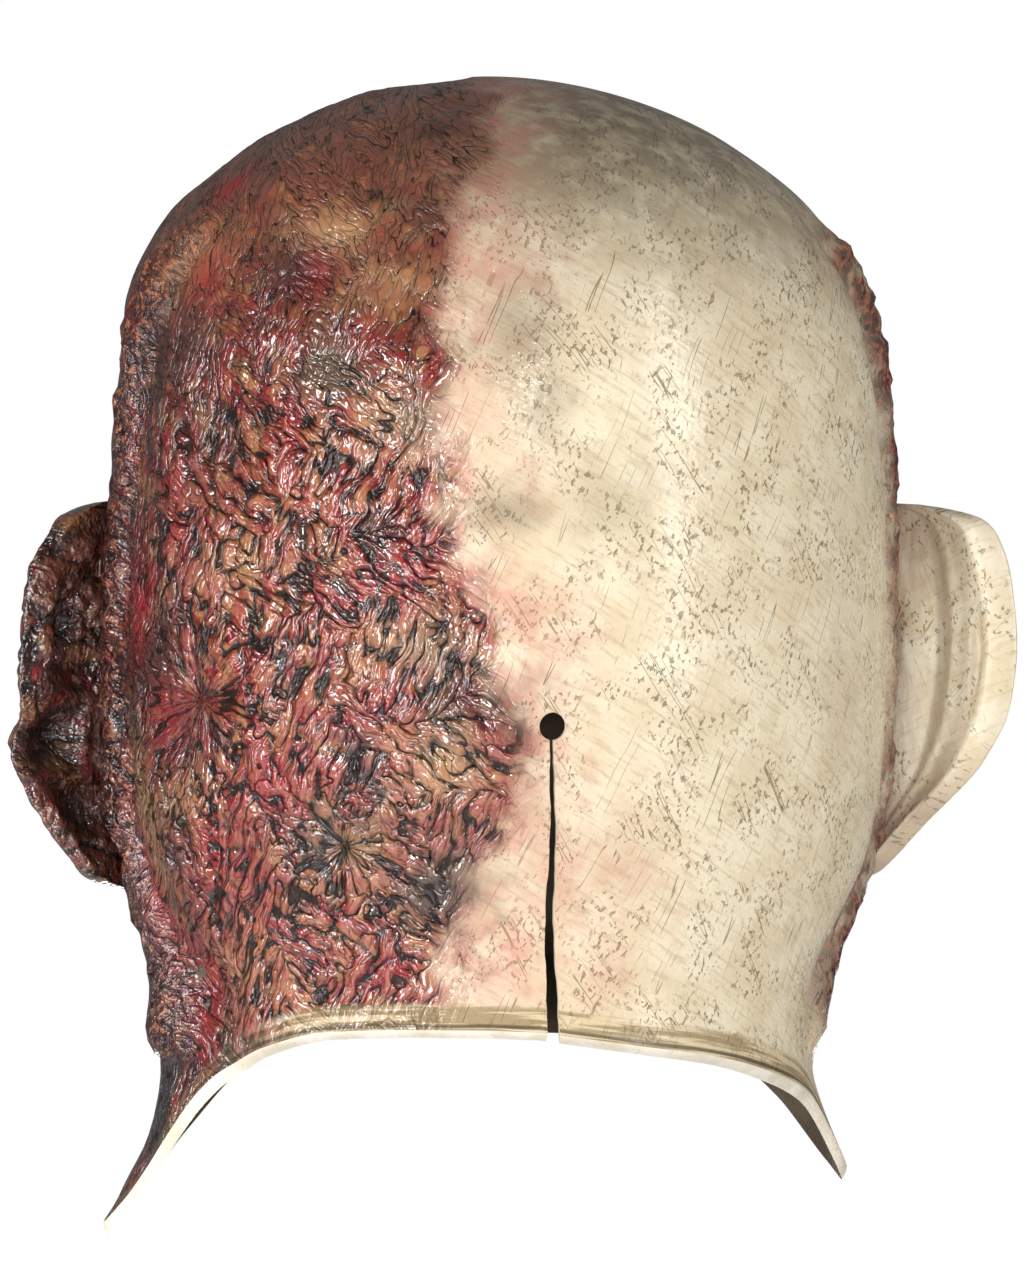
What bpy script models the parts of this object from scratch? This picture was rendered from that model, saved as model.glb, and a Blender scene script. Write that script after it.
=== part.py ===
"""A clown mask that covers the whole head: one hollow latex casting with both ears, a ball nose,
eye, mouth and nostril openings, and a keyhole slit up the back so that it can be pulled on.

The frame: +Z is up, the face looks along -Y, and the wearer's left ear is at +X. The origin is on
the inside of the crown, where the mask rests on a head. Heights are given as drops below the top
of the crown. Angles run round the head from the middle of the back, and are positive towards the
wearer's left. One side of the mask is modelled as burned skin, with a torn lip round the face.
"""

import math
from collections import namedtuple

import bmesh
import bpy
from mathutils import Matrix, Vector

# Head and neck
HEAD_WIDTH = 0.2026
HEAD_DEPTH = 0.214
CROWN_LEAN = 0.0030
LEAN_END_DROP = 0.070
NAPE_DROP = 0.2422
THROAT_DROP = 0.2492
WALL = 0.0026

# The two shoulder flaps that hang below the neck edge
LEFT_FLAP_DROP = 0.2955
RIGHT_FLAP_DROP = 0.2835
LEFT_FLARE = 0.0230
RIGHT_FLARE = 0.0120
PINCH_BELOW_NAPE = 0.0100

# Ears
EAR_TOP_DROP = 0.1095
EAR_HEIGHT = 0.1010
EAR_REACH = 0.0390
EAR_THICKNESS = 0.0042
EAR_ROOT_ANGLE = math.radians(22)
EAR_RIM_ANGLE = math.radians(55)
EAR_TOP_SETBACK = 0.0040
EAR_LOBE_SETBACK = -0.0080
EAR_ROOT_DEPTH = 0.45 * WALL

# Face
EYE_DROP = 0.1200
EYE_SPACING = 0.0660
EYE_WIDTH = 0.0280
EYE_HEIGHT = 0.0150
NOSE_DROP = 0.1570
NOSE_RADIUS = 0.0170
NOSE_STAND_OFF = 0.0080
NOSE_BACK = 0.75 * NOSE_RADIUS
NOSE_HOLE_RADIUS = 0.66 * NOSE_RADIUS
MOUTH_DROP = 0.1930
MOUTH_WIDTH = 0.0460
MOUTH_GAP = 0.0050
NOSTRIL_SPACING = 0.0150
NOSTRIL_RADIUS = 0.0028
NOSTRIL_BELOW_NOSE = 0.0035

# Keyhole slit up the back
KEYHOLE_DROP = 0.1665
KEYHOLE_RADIUS = 0.0033
SLIT_TOP_WIDTH = 0.0010
SLIT_EDGE_WIDTH = 0.0034
SLIT_DRIFT = 0.0040

# Torn lip of burned skin that runs down each side, behind the ear
LIP_HEIGHT = 0.0038
LIP_WIDTH = 0.0090
LIP_TOP_DROP = 0.0340
LIP_FADE = 0.0160

# How finely the casting is faceted
RINGS = 35
BACK_STEP = math.radians(9.2)
SIDE_STEP = math.radians(6.7)
FACE_STEP = math.radians(4.7)
BACK_HALF = math.radians(55)
FACE_HALF = math.radians(55)
CUTTER_SIDES = 24
NOSE_SIDES = 18

HALF_WIDTH = HEAD_WIDTH / 2
CROWN_TOP = WALL
NECK_PINCH_DROP = NAPE_DROP + PINCH_BELOW_NAPE
CUTTER_REACH = 0.030

# The head's level sections. Drops are shares of NAPE_DROP, half_width is a share of HALF_WIDTH, and
# centre, front and back are shares of HEAD_DEPTH. A taper narrows the section towards that end, and
# a negative one squares it.
Section = namedtuple("Section", "drop half_width centre front back front_taper back_taper")
SECTIONS = (
    Section(0.000, 0.000, 0.000, 0.000, 0.000, 0.00, 0.00),
    Section(0.025, 0.355, 0.004, 0.150, 0.225, 0.00, 0.00),
    Section(0.075, 0.612, 0.008, 0.275, 0.355, -0.02, 0.02),
    Section(0.152, 0.826, 0.004, 0.380, 0.455, -0.05, 0.02),
    Section(0.256, 0.944, -0.010, 0.435, 0.525, -0.08, 0.02),
    Section(0.372, 0.983, -0.020, 0.445, 0.560, -0.10, 0.02),
    Section(0.495, 0.998, -0.025, 0.430, 0.572, -0.10, 0.02),
    Section(0.620, 1.000, -0.025, 0.418, 0.556, -0.08, 0.02),
    Section(0.735, 0.990, -0.020, 0.408, 0.508, 0.00, 0.01),
    Section(0.826, 0.951, -0.010, 0.400, 0.445, 0.10, 0.00),
    Section(0.876, 0.904, -0.005, 0.396, 0.410, 0.16, 0.00),
    Section(0.930, 0.845, 0.000, 0.388, 0.380, 0.18, 0.00),
    Section(0.965, 0.815, 0.000, 0.330, 0.369, 0.12, 0.00),
    Section(1.000, 0.800, 0.000, 0.265, 0.364, 0.04, 0.00),
    Section(1.060, 0.786, 0.000, 0.235, 0.362, 0.00, 0.00),
    Section(1.300, 0.786, 0.000, 0.225, 0.362, 0.00, 0.00),
)

# The neck edge. The share is 0 at the height of the nape behind, or of the throat in front, and 1
# at the tip of that side's shoulder flap.
EdgePoint = namedtuple("EdgePoint", "angle left right")
NECK_EDGE = (
    EdgePoint(0, 0.01, 0.01),
    EdgePoint(10, 0.00, 0.06),
    EdgePoint(20, 0.00, 0.11),
    EdgePoint(38, 0.02, 0.20),
    EdgePoint(54, 0.11, 0.32),
    EdgePoint(66, 0.24, 0.43),
    EdgePoint(72, 0.37, 0.51),
    EdgePoint(78, 0.58, 0.66),
    EdgePoint(84, 0.89, 0.88),
    EdgePoint(90, 1.00, 1.00),
    EdgePoint(98, 0.90, 0.86),
    EdgePoint(110, 0.48, 0.42),
    EdgePoint(124, 0.16, 0.14),
    EdgePoint(142, 0.03, 0.03),
    EdgePoint(180, 0.00, 0.00),
)

# The ears' outlines: reach at each share of the way down the root, as a share of EAR_REACH. The
# left ear is shrunken by the burn.
EarRow = namedtuple("EarRow", "down left right")
EAR_ROWS = (
    EarRow(0.00, 0.28, 0.54),
    EarRow(0.08, 0.54, 0.82),
    EarRow(0.20, 0.74, 0.94),
    EarRow(0.40, 0.78, 1.00),
    EarRow(0.53, 0.77, 0.97),
    EarRow(0.67, 0.80, 0.80),
    EarRow(0.84, 0.66, 0.42),
    EarRow(1.00, 0.40, 0.12),
)

# Rounded forms of the face. Places and half sizes are in metres, and side is the distance from the
# middle: a form off the middle is there on both sides.
FaceForm = namedtuple("FaceForm", "name side drop half_width half_height rise")
FACE_FORMS = (
    FaceForm("brow", 0.030, EYE_DROP - 0.017, 0.026, 0.009, 0.0060),
    FaceForm("glabella", 0.0, EYE_DROP - 0.013, 0.014, 0.012, 0.0030),
    FaceForm("eye_socket", EYE_SPACING / 2, EYE_DROP, 0.024, 0.016, -0.0080),
    FaceForm("eyelid_mound", EYE_SPACING / 2, EYE_DROP, 0.016, 0.012, 0.0035),
    FaceForm("nose_bridge", 0.0, NOSE_DROP - 0.020, 0.010, 0.020, 0.0110),
    FaceForm("nose_root", 0.0, NOSE_DROP, 0.024, 0.020, 0.0030),
    FaceForm("cheek", 0.047, NOSE_DROP - 0.004, 0.022, 0.017, 0.0070),
    FaceForm("muzzle", 0.0, MOUTH_DROP - 0.003, 0.030, 0.018, 0.0060),
    FaceForm("upper_lip", 0.0, MOUTH_DROP - 0.006, 0.022, 0.006, 0.0040),
    FaceForm("lower_lip", 0.0, MOUTH_DROP + 0.006, 0.019, 0.006, 0.0045),
    FaceForm("chin_crease", 0.0, MOUTH_DROP + 0.015, 0.020, 0.006, -0.0030),
    FaceForm("chin", 0.0, MOUTH_DROP + 0.029, 0.019, 0.011, 0.0080),
)

# Lumps and pits of the burned skin, by angle in degrees and drop. A size is the radius of the form.
Scar = namedtuple("Scar", "name angle drop size rise")
SCARS = (
    Scar("temple_bulge", 82, 0.052, 0.021, 0.0030),
    Scar("crown_pit", 37, 0.056, 0.011, -0.0028),
    Scar("scalp_knot", 22, 0.078, 0.010, 0.0026),
    Scar("scalp_hollow", 52, 0.100, 0.020, -0.0025),
    Scar("upper_fold", 30, 0.132, 0.016, 0.0024),
    Scar("middle_hollow", 14, 0.150, 0.012, -0.0022),
    Scar("bruised_swelling", 10, 0.172, 0.012, 0.0026),
    Scar("pucker", 62, 0.168, 0.012, -0.0034),
    Scar("jaw_swelling", 97, 0.176, 0.018, 0.0030),
    Scar("neck_bulge", 88, 0.242, 0.024, 0.0098),
    Scar("neck_groove", 68, 0.232, 0.009, -0.0034),
    Scar("neck_cord", 54, 0.240, 0.008, 0.0022),
    Scar("right_neck_ridge", -88, 0.236, 0.016, 0.0022),
)

# Where the torn lip runs on each side: the angle at each drop, in degrees and metres.
LipPoint = namedtuple("LipPoint", "drop angle")
TORN_LIP = (
    LipPoint(0.034, 66),
    LipPoint(0.060, 74),
    LipPoint(0.100, 80),
    LipPoint(0.150, 84),
    LipPoint(0.205, 84),
    LipPoint(0.235, 80),
    LipPoint(0.262, 84),
)


def smooth_curve(places, values):
    """A curve through the values that never overshoots them (monotone cubic interpolation)."""
    steps = [b - a for a, b in zip(places, places[1:])]
    rises = [(b - a) / step for a, b, step in zip(values, values[1:], steps)]
    slopes = [rises[0]]
    for before, after in zip(rises, rises[1:]):
        slopes.append(2 * before * after / (before + after) if before * after > 0 else 0.0)
    slopes.append(rises[-1])

    def curve(place):
        if place <= places[0]:
            return values[0]
        if place >= places[-1]:
            return values[-1]
        row = max(i for i in range(len(steps)) if places[i] <= place)
        step = steps[row]
        t = (place - places[row]) / step
        start = (1 + 2 * t) * (1 - t) ** 2 * values[row] + t * (1 - t) ** 2 * step * slopes[row]
        end = t * t * (3 - 2 * t) * values[row + 1] + t * t * (t - 1) * step * slopes[row + 1]
        return start + end

    return curve


def section_curve(column, size, squared=False):
    """One column of SECTIONS as a curve by drop. An extent is squared, so that the crown is round."""
    drops = [section.drop * NAPE_DROP for section in SECTIONS]
    values = [getattr(section, column) * size for section in SECTIONS]
    if not squared:
        return smooth_curve(drops, values)
    square = smooth_curve(drops, [value * value for value in values])
    return lambda drop: math.sqrt(max(square(drop), 0.0))


half_width_at = section_curve("half_width", HALF_WIDTH, squared=True)
centre_at = section_curve("centre", HEAD_DEPTH)
front_at = section_curve("front", HEAD_DEPTH, squared=True)
back_at = section_curve("back", HEAD_DEPTH, squared=True)
front_taper_at = section_curve("front_taper", 1.0)
back_taper_at = section_curve("back_taper", 1.0)
edge_angles = [point.angle for point in NECK_EDGE]
left_edge = smooth_curve(edge_angles, [point.left for point in NECK_EDGE])
right_edge = smooth_curve(edge_angles, [point.right for point in NECK_EDGE])
ear_downs = [row.down for row in EAR_ROWS]
left_reach_at = smooth_curve(ear_downs, [row.left for row in EAR_ROWS])
right_reach_at = smooth_curve(ear_downs, [row.right for row in EAR_ROWS])
lip_angle_at = smooth_curve([p.drop for p in TORN_LIP], [math.radians(p.angle) for p in TORN_LIP])


def smooth_step(low, high, value):
    t = min(max((value - low) / (high - low), 0.0), 1.0)
    return t * t * (3 - 2 * t)


def neck_edge_drop(angle):
    """How far below the crown the casting ends at this angle."""
    share = (left_edge if angle >= 0 else right_edge)(math.degrees(abs(angle)))
    tip = LEFT_FLAP_DROP if angle >= 0 else RIGHT_FLAP_DROP
    towards_face = smooth_step(math.radians(70), math.radians(110), abs(angle))
    neck = NAPE_DROP + (THROAT_DROP - NAPE_DROP) * towards_face
    return neck + (tip - neck) * share


def flare_at(angle, drop):
    """How far a shoulder flap stands out from the neck."""
    tip, flare = (LEFT_FLAP_DROP, LEFT_FLARE) if angle >= 0 else (RIGHT_FLAP_DROP, RIGHT_FLARE)
    down = max(drop - NECK_PINCH_DROP, 0.0) / (tip - NECK_PINCH_DROP)
    return flare * down**1.2 * abs(math.sin(angle)) ** 3


def skin_point(angle, drop):
    """A point on the outside of the plain head form."""
    to_side, to_back = math.sin(angle), math.cos(angle)
    reach = back_at(drop) if to_back >= 0 else front_at(drop)
    taper = back_taper_at(drop) if to_back >= 0 else front_taper_at(drop)
    x = (half_width_at(drop) + flare_at(angle, drop)) * to_side * (1 - taper * to_back**2)
    x += CROWN_LEAN * (1 - smooth_step(0.0, LEAN_END_DROP, drop))
    return Vector((x, centre_at(drop) + reach * to_back, CROWN_TOP - drop))


def face_relief(point):
    """Rise of the features above the plain form, for a point on the front of the head."""
    drop = CROWN_TOP - point.z
    rise = 0.0
    for form in FACE_FORMS:
        across = (abs(point.x) - form.side) / form.half_width
        down = (drop - form.drop) / form.half_height
        rise += form.rise * math.exp(-across * across - down * down)
    return rise * smooth_step(0.015, 0.045, -point.y)


def arc_distance(angle, drop, other_angle, other_drop):
    """Distance along the skin between two places that are near each other."""
    return math.hypot((angle - other_angle) * half_width_at(drop), drop - other_drop)


def burn_relief(angle, drop):
    """Rise of the scars, and of the torn lip on both sides."""
    rise = 0.0
    for scar in SCARS:
        apart = arc_distance(angle, drop, math.radians(scar.angle), scar.drop) / scar.size
        rise += scar.rise * math.exp(-apart * apart)
    across = (abs(angle) - lip_angle_at(drop)) * half_width_at(drop) / LIP_WIDTH
    ends = smooth_step(LIP_TOP_DROP, LIP_TOP_DROP + LIP_FADE, drop)
    ends *= 1 - smooth_step(NECK_PINCH_DROP - LIP_FADE / 2, NECK_PINCH_DROP + LIP_FADE / 2, drop)
    return rise + LIP_HEIGHT * ends * math.exp(-across * across)


def column_angles():
    """Angles of the grid's columns: widest apart behind, closest across the face."""
    angles, angle = [], 0.0
    while angle < math.pi:
        angles.append(angle)
        if angle < BACK_HALF:
            angle += BACK_STEP
        elif angle < math.pi - FACE_HALF:
            angle += SIDE_STEP
        else:
            angle += FACE_STEP
    stretch = math.pi / angle
    half = [a * stretch for a in angles]
    return half + [math.pi] + [-a for a in reversed(half[1:])]


def ring_shares():
    """Shares of the way from the crown to the edge, even along the side of the head."""
    samples = 400
    drops = [NAPE_DROP * i / samples for i in range(samples + 1)]
    travelled = [0.0]
    for above, below in zip(drops, drops[1:]):
        step = math.hypot(below - above, half_width_at(below) - half_width_at(above))
        travelled.append(travelled[-1] + step * (0.75 if above < EYE_DROP / 1.3 else 1.15))
    place = smooth_curve(travelled, drops)
    return [place(travelled[-1] * i / RINGS) / NAPE_DROP for i in range(RINGS + 1)]


def add_to_scene(name, bm, collection):
    mesh = bpy.data.meshes.new(name)
    bm.to_mesh(mesh)
    bm.free()
    made = bpy.data.objects.new(name, mesh)
    collection.objects.link(made)
    return made


def head_skin(collection):
    """The outside of the casting as an open surface: a sphere's grid moved onto the head's form."""
    angles, shares = column_angles(), ring_shares()
    bm = bmesh.new()
    bmesh.ops.create_uvsphere(bm, u_segments=len(angles), v_segments=len(shares), radius=1.0)
    bottom = min(bm.verts, key=lambda v: v.co.z)
    bmesh.ops.delete(bm, geom=[bottom], context="VERTS")
    places = {}
    for vert in bm.verts:
        turn = math.atan2(vert.co.x, vert.co.y) % math.tau
        column = round(turn / math.tau * len(angles)) % len(angles)
        row = round(math.acos(max(-1.0, min(1.0, vert.co.z))) / math.pi * len(shares))
        angle = angles[column]
        stretch = smooth_step(0.80, 1.0, shares[row]) * (neck_edge_drop(angle) - NAPE_DROP)
        places[vert] = (angle, shares[row] * NAPE_DROP + stretch)
        vert.co = skin_point(*places[vert])
    bmesh.ops.recalc_face_normals(bm, faces=bm.faces)
    bm.normal_update()
    rises = {v: face_relief(v.co) + burn_relief(*place) for v, place in places.items()}
    for vert, rise in rises.items():
        vert.co += vert.normal * rise
    return add_to_scene("latex_mask", bm, collection)


def ear_root(side, down):
    """Where the ear grows from the head: a point inside the wall."""
    drop = EAR_TOP_DROP + EAR_HEIGHT * down
    setback = EAR_TOP_SETBACK + (EAR_LOBE_SETBACK - EAR_TOP_SETBACK) * down
    reach = back_at(drop) if setback > 0 else front_at(drop)
    angle = side * math.acos(max(-1.0, min(1.0, setback / reach)))
    root = skin_point(angle, drop)
    root.x += side * (burn_relief(angle, drop) - EAR_ROOT_DEPTH)
    return root


def ear_flap(side, collection):
    """One ear: a curved flap that leaves the head sideways and bends towards the back."""
    across, along = 5, 9
    bm = bmesh.new()
    bmesh.ops.create_grid(bm, x_segments=across, y_segments=along, size=1.0)
    turn = EAR_RIM_ANGLE - EAR_ROOT_ANGLE
    reach_at = left_reach_at if side > 0 else right_reach_at
    for vert in bm.verts:
        out, down = (vert.co.x + 1) / 2, (1 - vert.co.y) / 2
        length = EAR_REACH * reach_at(down)
        bent = EAR_ROOT_ANGLE + turn * out
        sideways = length * (math.sin(bent) - math.sin(EAR_ROOT_ANGLE)) / turn
        backwards = length * (math.cos(EAR_ROOT_ANGLE) - math.cos(bent)) / turn
        vert.co = ear_root(side, down) + Vector((side * sideways, backwards, 0.0))
    bmesh.ops.recalc_face_normals(bm, faces=bm.faces)
    ear = add_to_scene("left_ear" if side > 0 else "right_ear", bm, collection)
    thicken = ear.modifiers.new("thicken", "SOLIDIFY")
    thicken.thickness = EAR_THICKNESS
    thicken.offset = 0.0
    thicken.edge_crease_rim = 0.0
    rounded = ear.modifiers.new("rounded", "SUBSURF")
    rounded.levels = rounded.render_levels = 1
    return ear


def face_point(side, drop):
    """The outside of the face at this distance from the middle."""
    low, high = 0.0, math.pi / 2
    for _ in range(30):
        middle = (low + high) / 2
        if abs(skin_point(math.pi - middle, drop).x) < abs(side):
            low = middle
        else:
            high = middle
    point = skin_point(math.copysign(math.pi - low, side), drop)
    point.y -= face_relief(point)
    return point


def ball_nose(centre, collection):
    """The nose: a hollow ball, open behind where it grows out of the face."""
    bm = bmesh.new()
    bmesh.ops.create_uvsphere(bm, u_segments=NOSE_SIDES, v_segments=14, radius=NOSE_RADIUS)
    turn = Matrix.Rotation(math.pi / 2, 3, "X") @ Matrix.Rotation(math.pi / NOSE_SIDES, 3, "Z")
    bmesh.ops.rotate(bm, cent=(0.0, 0.0, 0.0), matrix=turn, verts=bm.verts)
    rear = [vert for vert in bm.verts if vert.co.y > NOSE_BACK]
    bmesh.ops.delete(bm, geom=rear, context="VERTS")
    bmesh.ops.recalc_face_normals(bm, faces=bm.faces)
    bmesh.ops.translate(bm, vec=centre, verts=bm.verts)
    nose = add_to_scene("ball_nose", bm, collection)
    wall = nose.modifiers.new("wall", "SOLIDIFY")
    wall.thickness = WALL
    wall.offset = -1.0
    return nose


def oval_cutter(name, centre, width, height, collection):
    """A cutter with an oval outline, pointing through the wall along Y."""
    bm = bmesh.new()
    bmesh.ops.create_cone(bm, cap_ends=True, segments=CUTTER_SIDES, radius1=0.5, radius2=0.5, depth=1.0)
    half_step = Matrix.Rotation(math.pi / CUTTER_SIDES, 3, "Z")
    bmesh.ops.rotate(bm, cent=(0.0, 0.0, 0.0), matrix=half_step, verts=bm.verts)
    for vert in bm.verts:
        x, y, z = vert.co
        vert.co = centre + Vector((x * width, -z * 2 * CUTTER_REACH, y * height))
    return add_to_scene(name, bm, collection)


def slit_cutter(collection):
    """The slit from the keyhole down through the neck edge, wider at the edge."""
    bottom = NAPE_DROP + 2 * WALL
    bm = bmesh.new()
    bmesh.ops.create_cube(bm, size=1.0)
    for vert in bm.verts:
        low = vert.co.z < 0
        width = SLIT_EDGE_WIDTH if low else SLIT_TOP_WIDTH
        y = skin_point(0.0, NAPE_DROP).y + 2 * CUTTER_REACH * vert.co.y + CUTTER_REACH / 2
        drift = -SLIT_DRIFT if low else 0.0
        drop = bottom if low else KEYHOLE_DROP
        vert.co = Vector((vert.co.x * width + drift, y, CROWN_TOP - drop))
    return add_to_scene("slit_cutter", bm, collection)


def combine(target, other, operation):
    step = target.modifiers.new(other.name, "BOOLEAN")
    step.operation = operation
    step.object = other
    other.hide_render = True
    other.display_type = "WIRE"


def openings(collection):
    """Cutters for the eyes, nostrils, mouth and keyhole slit."""
    cutters = []
    for side, name in ((1, "left"), (-1, "right")):
        eye = face_point(side * EYE_SPACING / 2, EYE_DROP)
        cutters.append(oval_cutter(f"{name}_eye_cutter", eye, EYE_WIDTH, EYE_HEIGHT, collection))
        below = NOSE_DROP + NOSE_RADIUS + NOSTRIL_BELOW_NOSE
        nostril = face_point(side * NOSTRIL_SPACING / 2, below)
        size = 2 * NOSTRIL_RADIUS
        cutters.append(oval_cutter(f"{name}_nostril_cutter", nostril, size, size, collection))
    mouth = face_point(0.0, MOUTH_DROP)
    cutters.append(oval_cutter("mouth_cutter", mouth, MOUTH_WIDTH, MOUTH_GAP, collection))
    keyhole = skin_point(0.0, KEYHOLE_DROP)
    size = 2 * KEYHOLE_RADIUS
    cutters.append(oval_cutter("keyhole_cutter", keyhole, size, size, collection))
    cutters.append(slit_cutter(collection))
    return cutters


def latex():
    material = bpy.data.materials.new("painted_latex")
    material.use_nodes = True
    shader = material.node_tree.nodes["Principled BSDF"]
    shader.inputs["Base Color"].default_value = (0.62, 0.50, 0.36, 1.0)
    shader.inputs["Roughness"].default_value = 0.42
    shader.inputs["Metallic"].default_value = 0.0
    return material


def build():
    for old in list(bpy.data.objects):
        bpy.data.objects.remove(old)
    casting = bpy.data.collections.new("clown_mask")
    helpers = bpy.data.collections.new("cutters")
    for collection in (casting, helpers):
        bpy.context.scene.collection.children.link(collection)

    mask = head_skin(casting)
    wall = mask.modifiers.new("wall", "SOLIDIFY")
    wall.thickness = WALL
    wall.offset = -1.0
    wall.use_even_offset = True
    for side in (1, -1):
        combine(mask, ear_flap(side, helpers), "UNION")
    nose = face_point(0.0, NOSE_DROP)
    size = 2 * NOSE_HOLE_RADIUS
    combine(mask, oval_cutter("nose_hole", nose, size, size, helpers), "DIFFERENCE")
    combine(mask, ball_nose(nose - Vector((0.0, NOSE_STAND_OFF, 0.0)), helpers), "UNION")
    for cutter in openings(helpers):
        combine(mask, cutter, "DIFFERENCE")
    mask.data.materials.append(latex())
    mask.data.shade_smooth()


build()
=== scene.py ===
"""The looks of the latex clown mask: one hand-painted casting, seen from behind.

The frame: +Z is up, the face looks along -Y, and the wearer's left ear is at +X. The origin is on
the inside of the crown. Heights are given as drops below the top of the crown. Angles run round
the head from the middle of the back, and are positive towards the wearer's left, which is the
burned side. Sizes are in metres, and angles in degrees where a name or a table says so.
"""

import math
from collections import namedtuple

import bmesh
import bpy
import numpy as np
from mathutils import Matrix, Vector, noise
from mathutils.kdtree import KDTree

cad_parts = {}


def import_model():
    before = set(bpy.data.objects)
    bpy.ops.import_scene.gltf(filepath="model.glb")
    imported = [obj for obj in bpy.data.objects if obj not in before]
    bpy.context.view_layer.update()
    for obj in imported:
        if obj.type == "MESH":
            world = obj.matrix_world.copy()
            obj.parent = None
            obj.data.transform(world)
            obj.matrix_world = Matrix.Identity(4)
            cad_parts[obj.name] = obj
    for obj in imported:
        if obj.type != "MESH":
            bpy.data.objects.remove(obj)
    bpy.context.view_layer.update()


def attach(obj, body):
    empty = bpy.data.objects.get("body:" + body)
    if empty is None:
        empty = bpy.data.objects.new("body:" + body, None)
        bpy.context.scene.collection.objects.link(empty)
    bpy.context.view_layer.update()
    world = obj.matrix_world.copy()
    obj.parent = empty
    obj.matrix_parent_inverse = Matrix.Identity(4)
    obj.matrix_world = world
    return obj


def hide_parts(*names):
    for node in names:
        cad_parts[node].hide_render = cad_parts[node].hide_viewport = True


# The casting, as in the CAD model
HEAD_WIDTH = 0.2026
HEAD_DEPTH = 0.214
CROWN_LEAN = 0.0030
LEAN_END_DROP = 0.070
NAPE_DROP = 0.2422
THROAT_DROP = 0.2492
WALL = 0.0026
LEFT_FLAP_DROP = 0.2955
RIGHT_FLAP_DROP = 0.2835
LEFT_FLARE = 0.0230
RIGHT_FLARE = 0.0120
PINCH_DROP = NAPE_DROP + 0.0100
EAR_TOP_DROP = 0.1095
EAR_HEIGHT = 0.1010
EAR_REACH = 0.0390
EAR_THICKNESS = 0.0042
EAR_ROOT_ANGLE = math.radians(22)
EAR_RIM_ANGLE = math.radians(55)
EAR_TOP_SETBACK = 0.0040
EAR_LOBE_SETBACK = -0.0080
EYE_DROP = 0.1200
EYE_SPACING = 0.0660
EYE_WIDTH = 0.0280
EYE_HEIGHT = 0.0150
NOSE_DROP = 0.1570
NOSE_RADIUS = 0.0170
NOSE_STAND_OFF = 0.0080
NOSE_BACK = 0.75 * NOSE_RADIUS
NOSE_HOLE_RADIUS = 0.66 * NOSE_RADIUS
MOUTH_DROP = 0.1930
MOUTH_WIDTH = 0.0460
MOUTH_GAP = 0.0050
NOSTRIL_SPACING = 0.0150
NOSTRIL_RADIUS = 0.0028
NOSTRIL_BELOW_NOSE = 0.0035
KEYHOLE_DROP = 0.1665
KEYHOLE_RADIUS = 0.0033
SLIT_TOP_WIDTH = 0.0009
SLIT_EDGE_WIDTH = 0.0032
SLIT_DRIFT = 0.0040
LIP_HEIGHT = 0.0038
LIP_WIDTH = 0.0090
LIP_TOP_DROP = 0.0340
LIP_FADE = 0.0160

HALF_WIDTH = HEAD_WIDTH / 2
CROWN_TOP = WALL

# How finely the skin is meshed
COLUMNS = 384
OUTER_ROWS = 200
CUT_ROWS = 3
INNER_ROWS = 44

# The slanted cut of the neck edge: the inside hangs lower than the outside
CUT_SLANT = 0.0022

# The photograph: seen from behind, level with the middle of the mask
PHOTO_AZIMUTH = math.radians(173)
PHOTO_DISTANCE = 1.600
PHOTO_METRES_HIGH = 0.3328
AIM = Vector((-0.0038, 0.0, -0.1430))
SENSOR = 36.0
FLOOR_DROP = 1.05

Section = namedtuple("Section", "drop half_width centre front back front_taper back_taper")
SECTIONS = (
    Section(0.000, 0.000, 0.000, 0.000, 0.000, 0.00, 0.00),
    Section(0.025, 0.355, 0.004, 0.150, 0.225, 0.00, 0.00),
    Section(0.075, 0.612, 0.008, 0.275, 0.355, -0.02, 0.02),
    Section(0.152, 0.826, 0.004, 0.380, 0.455, -0.05, 0.02),
    Section(0.256, 0.944, -0.010, 0.435, 0.525, -0.08, 0.02),
    Section(0.372, 0.983, -0.020, 0.445, 0.560, -0.10, 0.02),
    Section(0.495, 0.998, -0.025, 0.430, 0.572, -0.10, 0.02),
    Section(0.620, 1.000, -0.025, 0.418, 0.556, -0.08, 0.02),
    Section(0.735, 0.990, -0.020, 0.408, 0.508, 0.00, 0.01),
    Section(0.826, 0.951, -0.010, 0.400, 0.445, 0.10, 0.00),
    Section(0.876, 0.904, -0.005, 0.396, 0.410, 0.16, 0.00),
    Section(0.930, 0.845, 0.000, 0.388, 0.380, 0.18, 0.00),
    Section(0.965, 0.815, 0.000, 0.330, 0.369, 0.12, 0.00),
    Section(1.000, 0.800, 0.000, 0.265, 0.364, 0.04, 0.00),
    Section(1.060, 0.786, 0.000, 0.235, 0.362, 0.00, 0.00),
    Section(1.300, 0.786, 0.000, 0.225, 0.362, 0.00, 0.00),
)

EdgePoint = namedtuple("EdgePoint", "angle left right")
NECK_EDGE = (
    EdgePoint(0, 0.01, 0.01),
    EdgePoint(10, 0.00, 0.06),
    EdgePoint(20, 0.00, 0.11),
    EdgePoint(38, 0.02, 0.20),
    EdgePoint(54, 0.11, 0.32),
    EdgePoint(66, 0.24, 0.43),
    EdgePoint(72, 0.37, 0.51),
    EdgePoint(78, 0.58, 0.66),
    EdgePoint(84, 0.89, 0.88),
    EdgePoint(90, 1.00, 1.00),
    EdgePoint(98, 0.90, 0.86),
    EdgePoint(110, 0.48, 0.42),
    EdgePoint(124, 0.16, 0.14),
    EdgePoint(142, 0.03, 0.03),
    EdgePoint(180, 0.00, 0.00),
)

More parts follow.
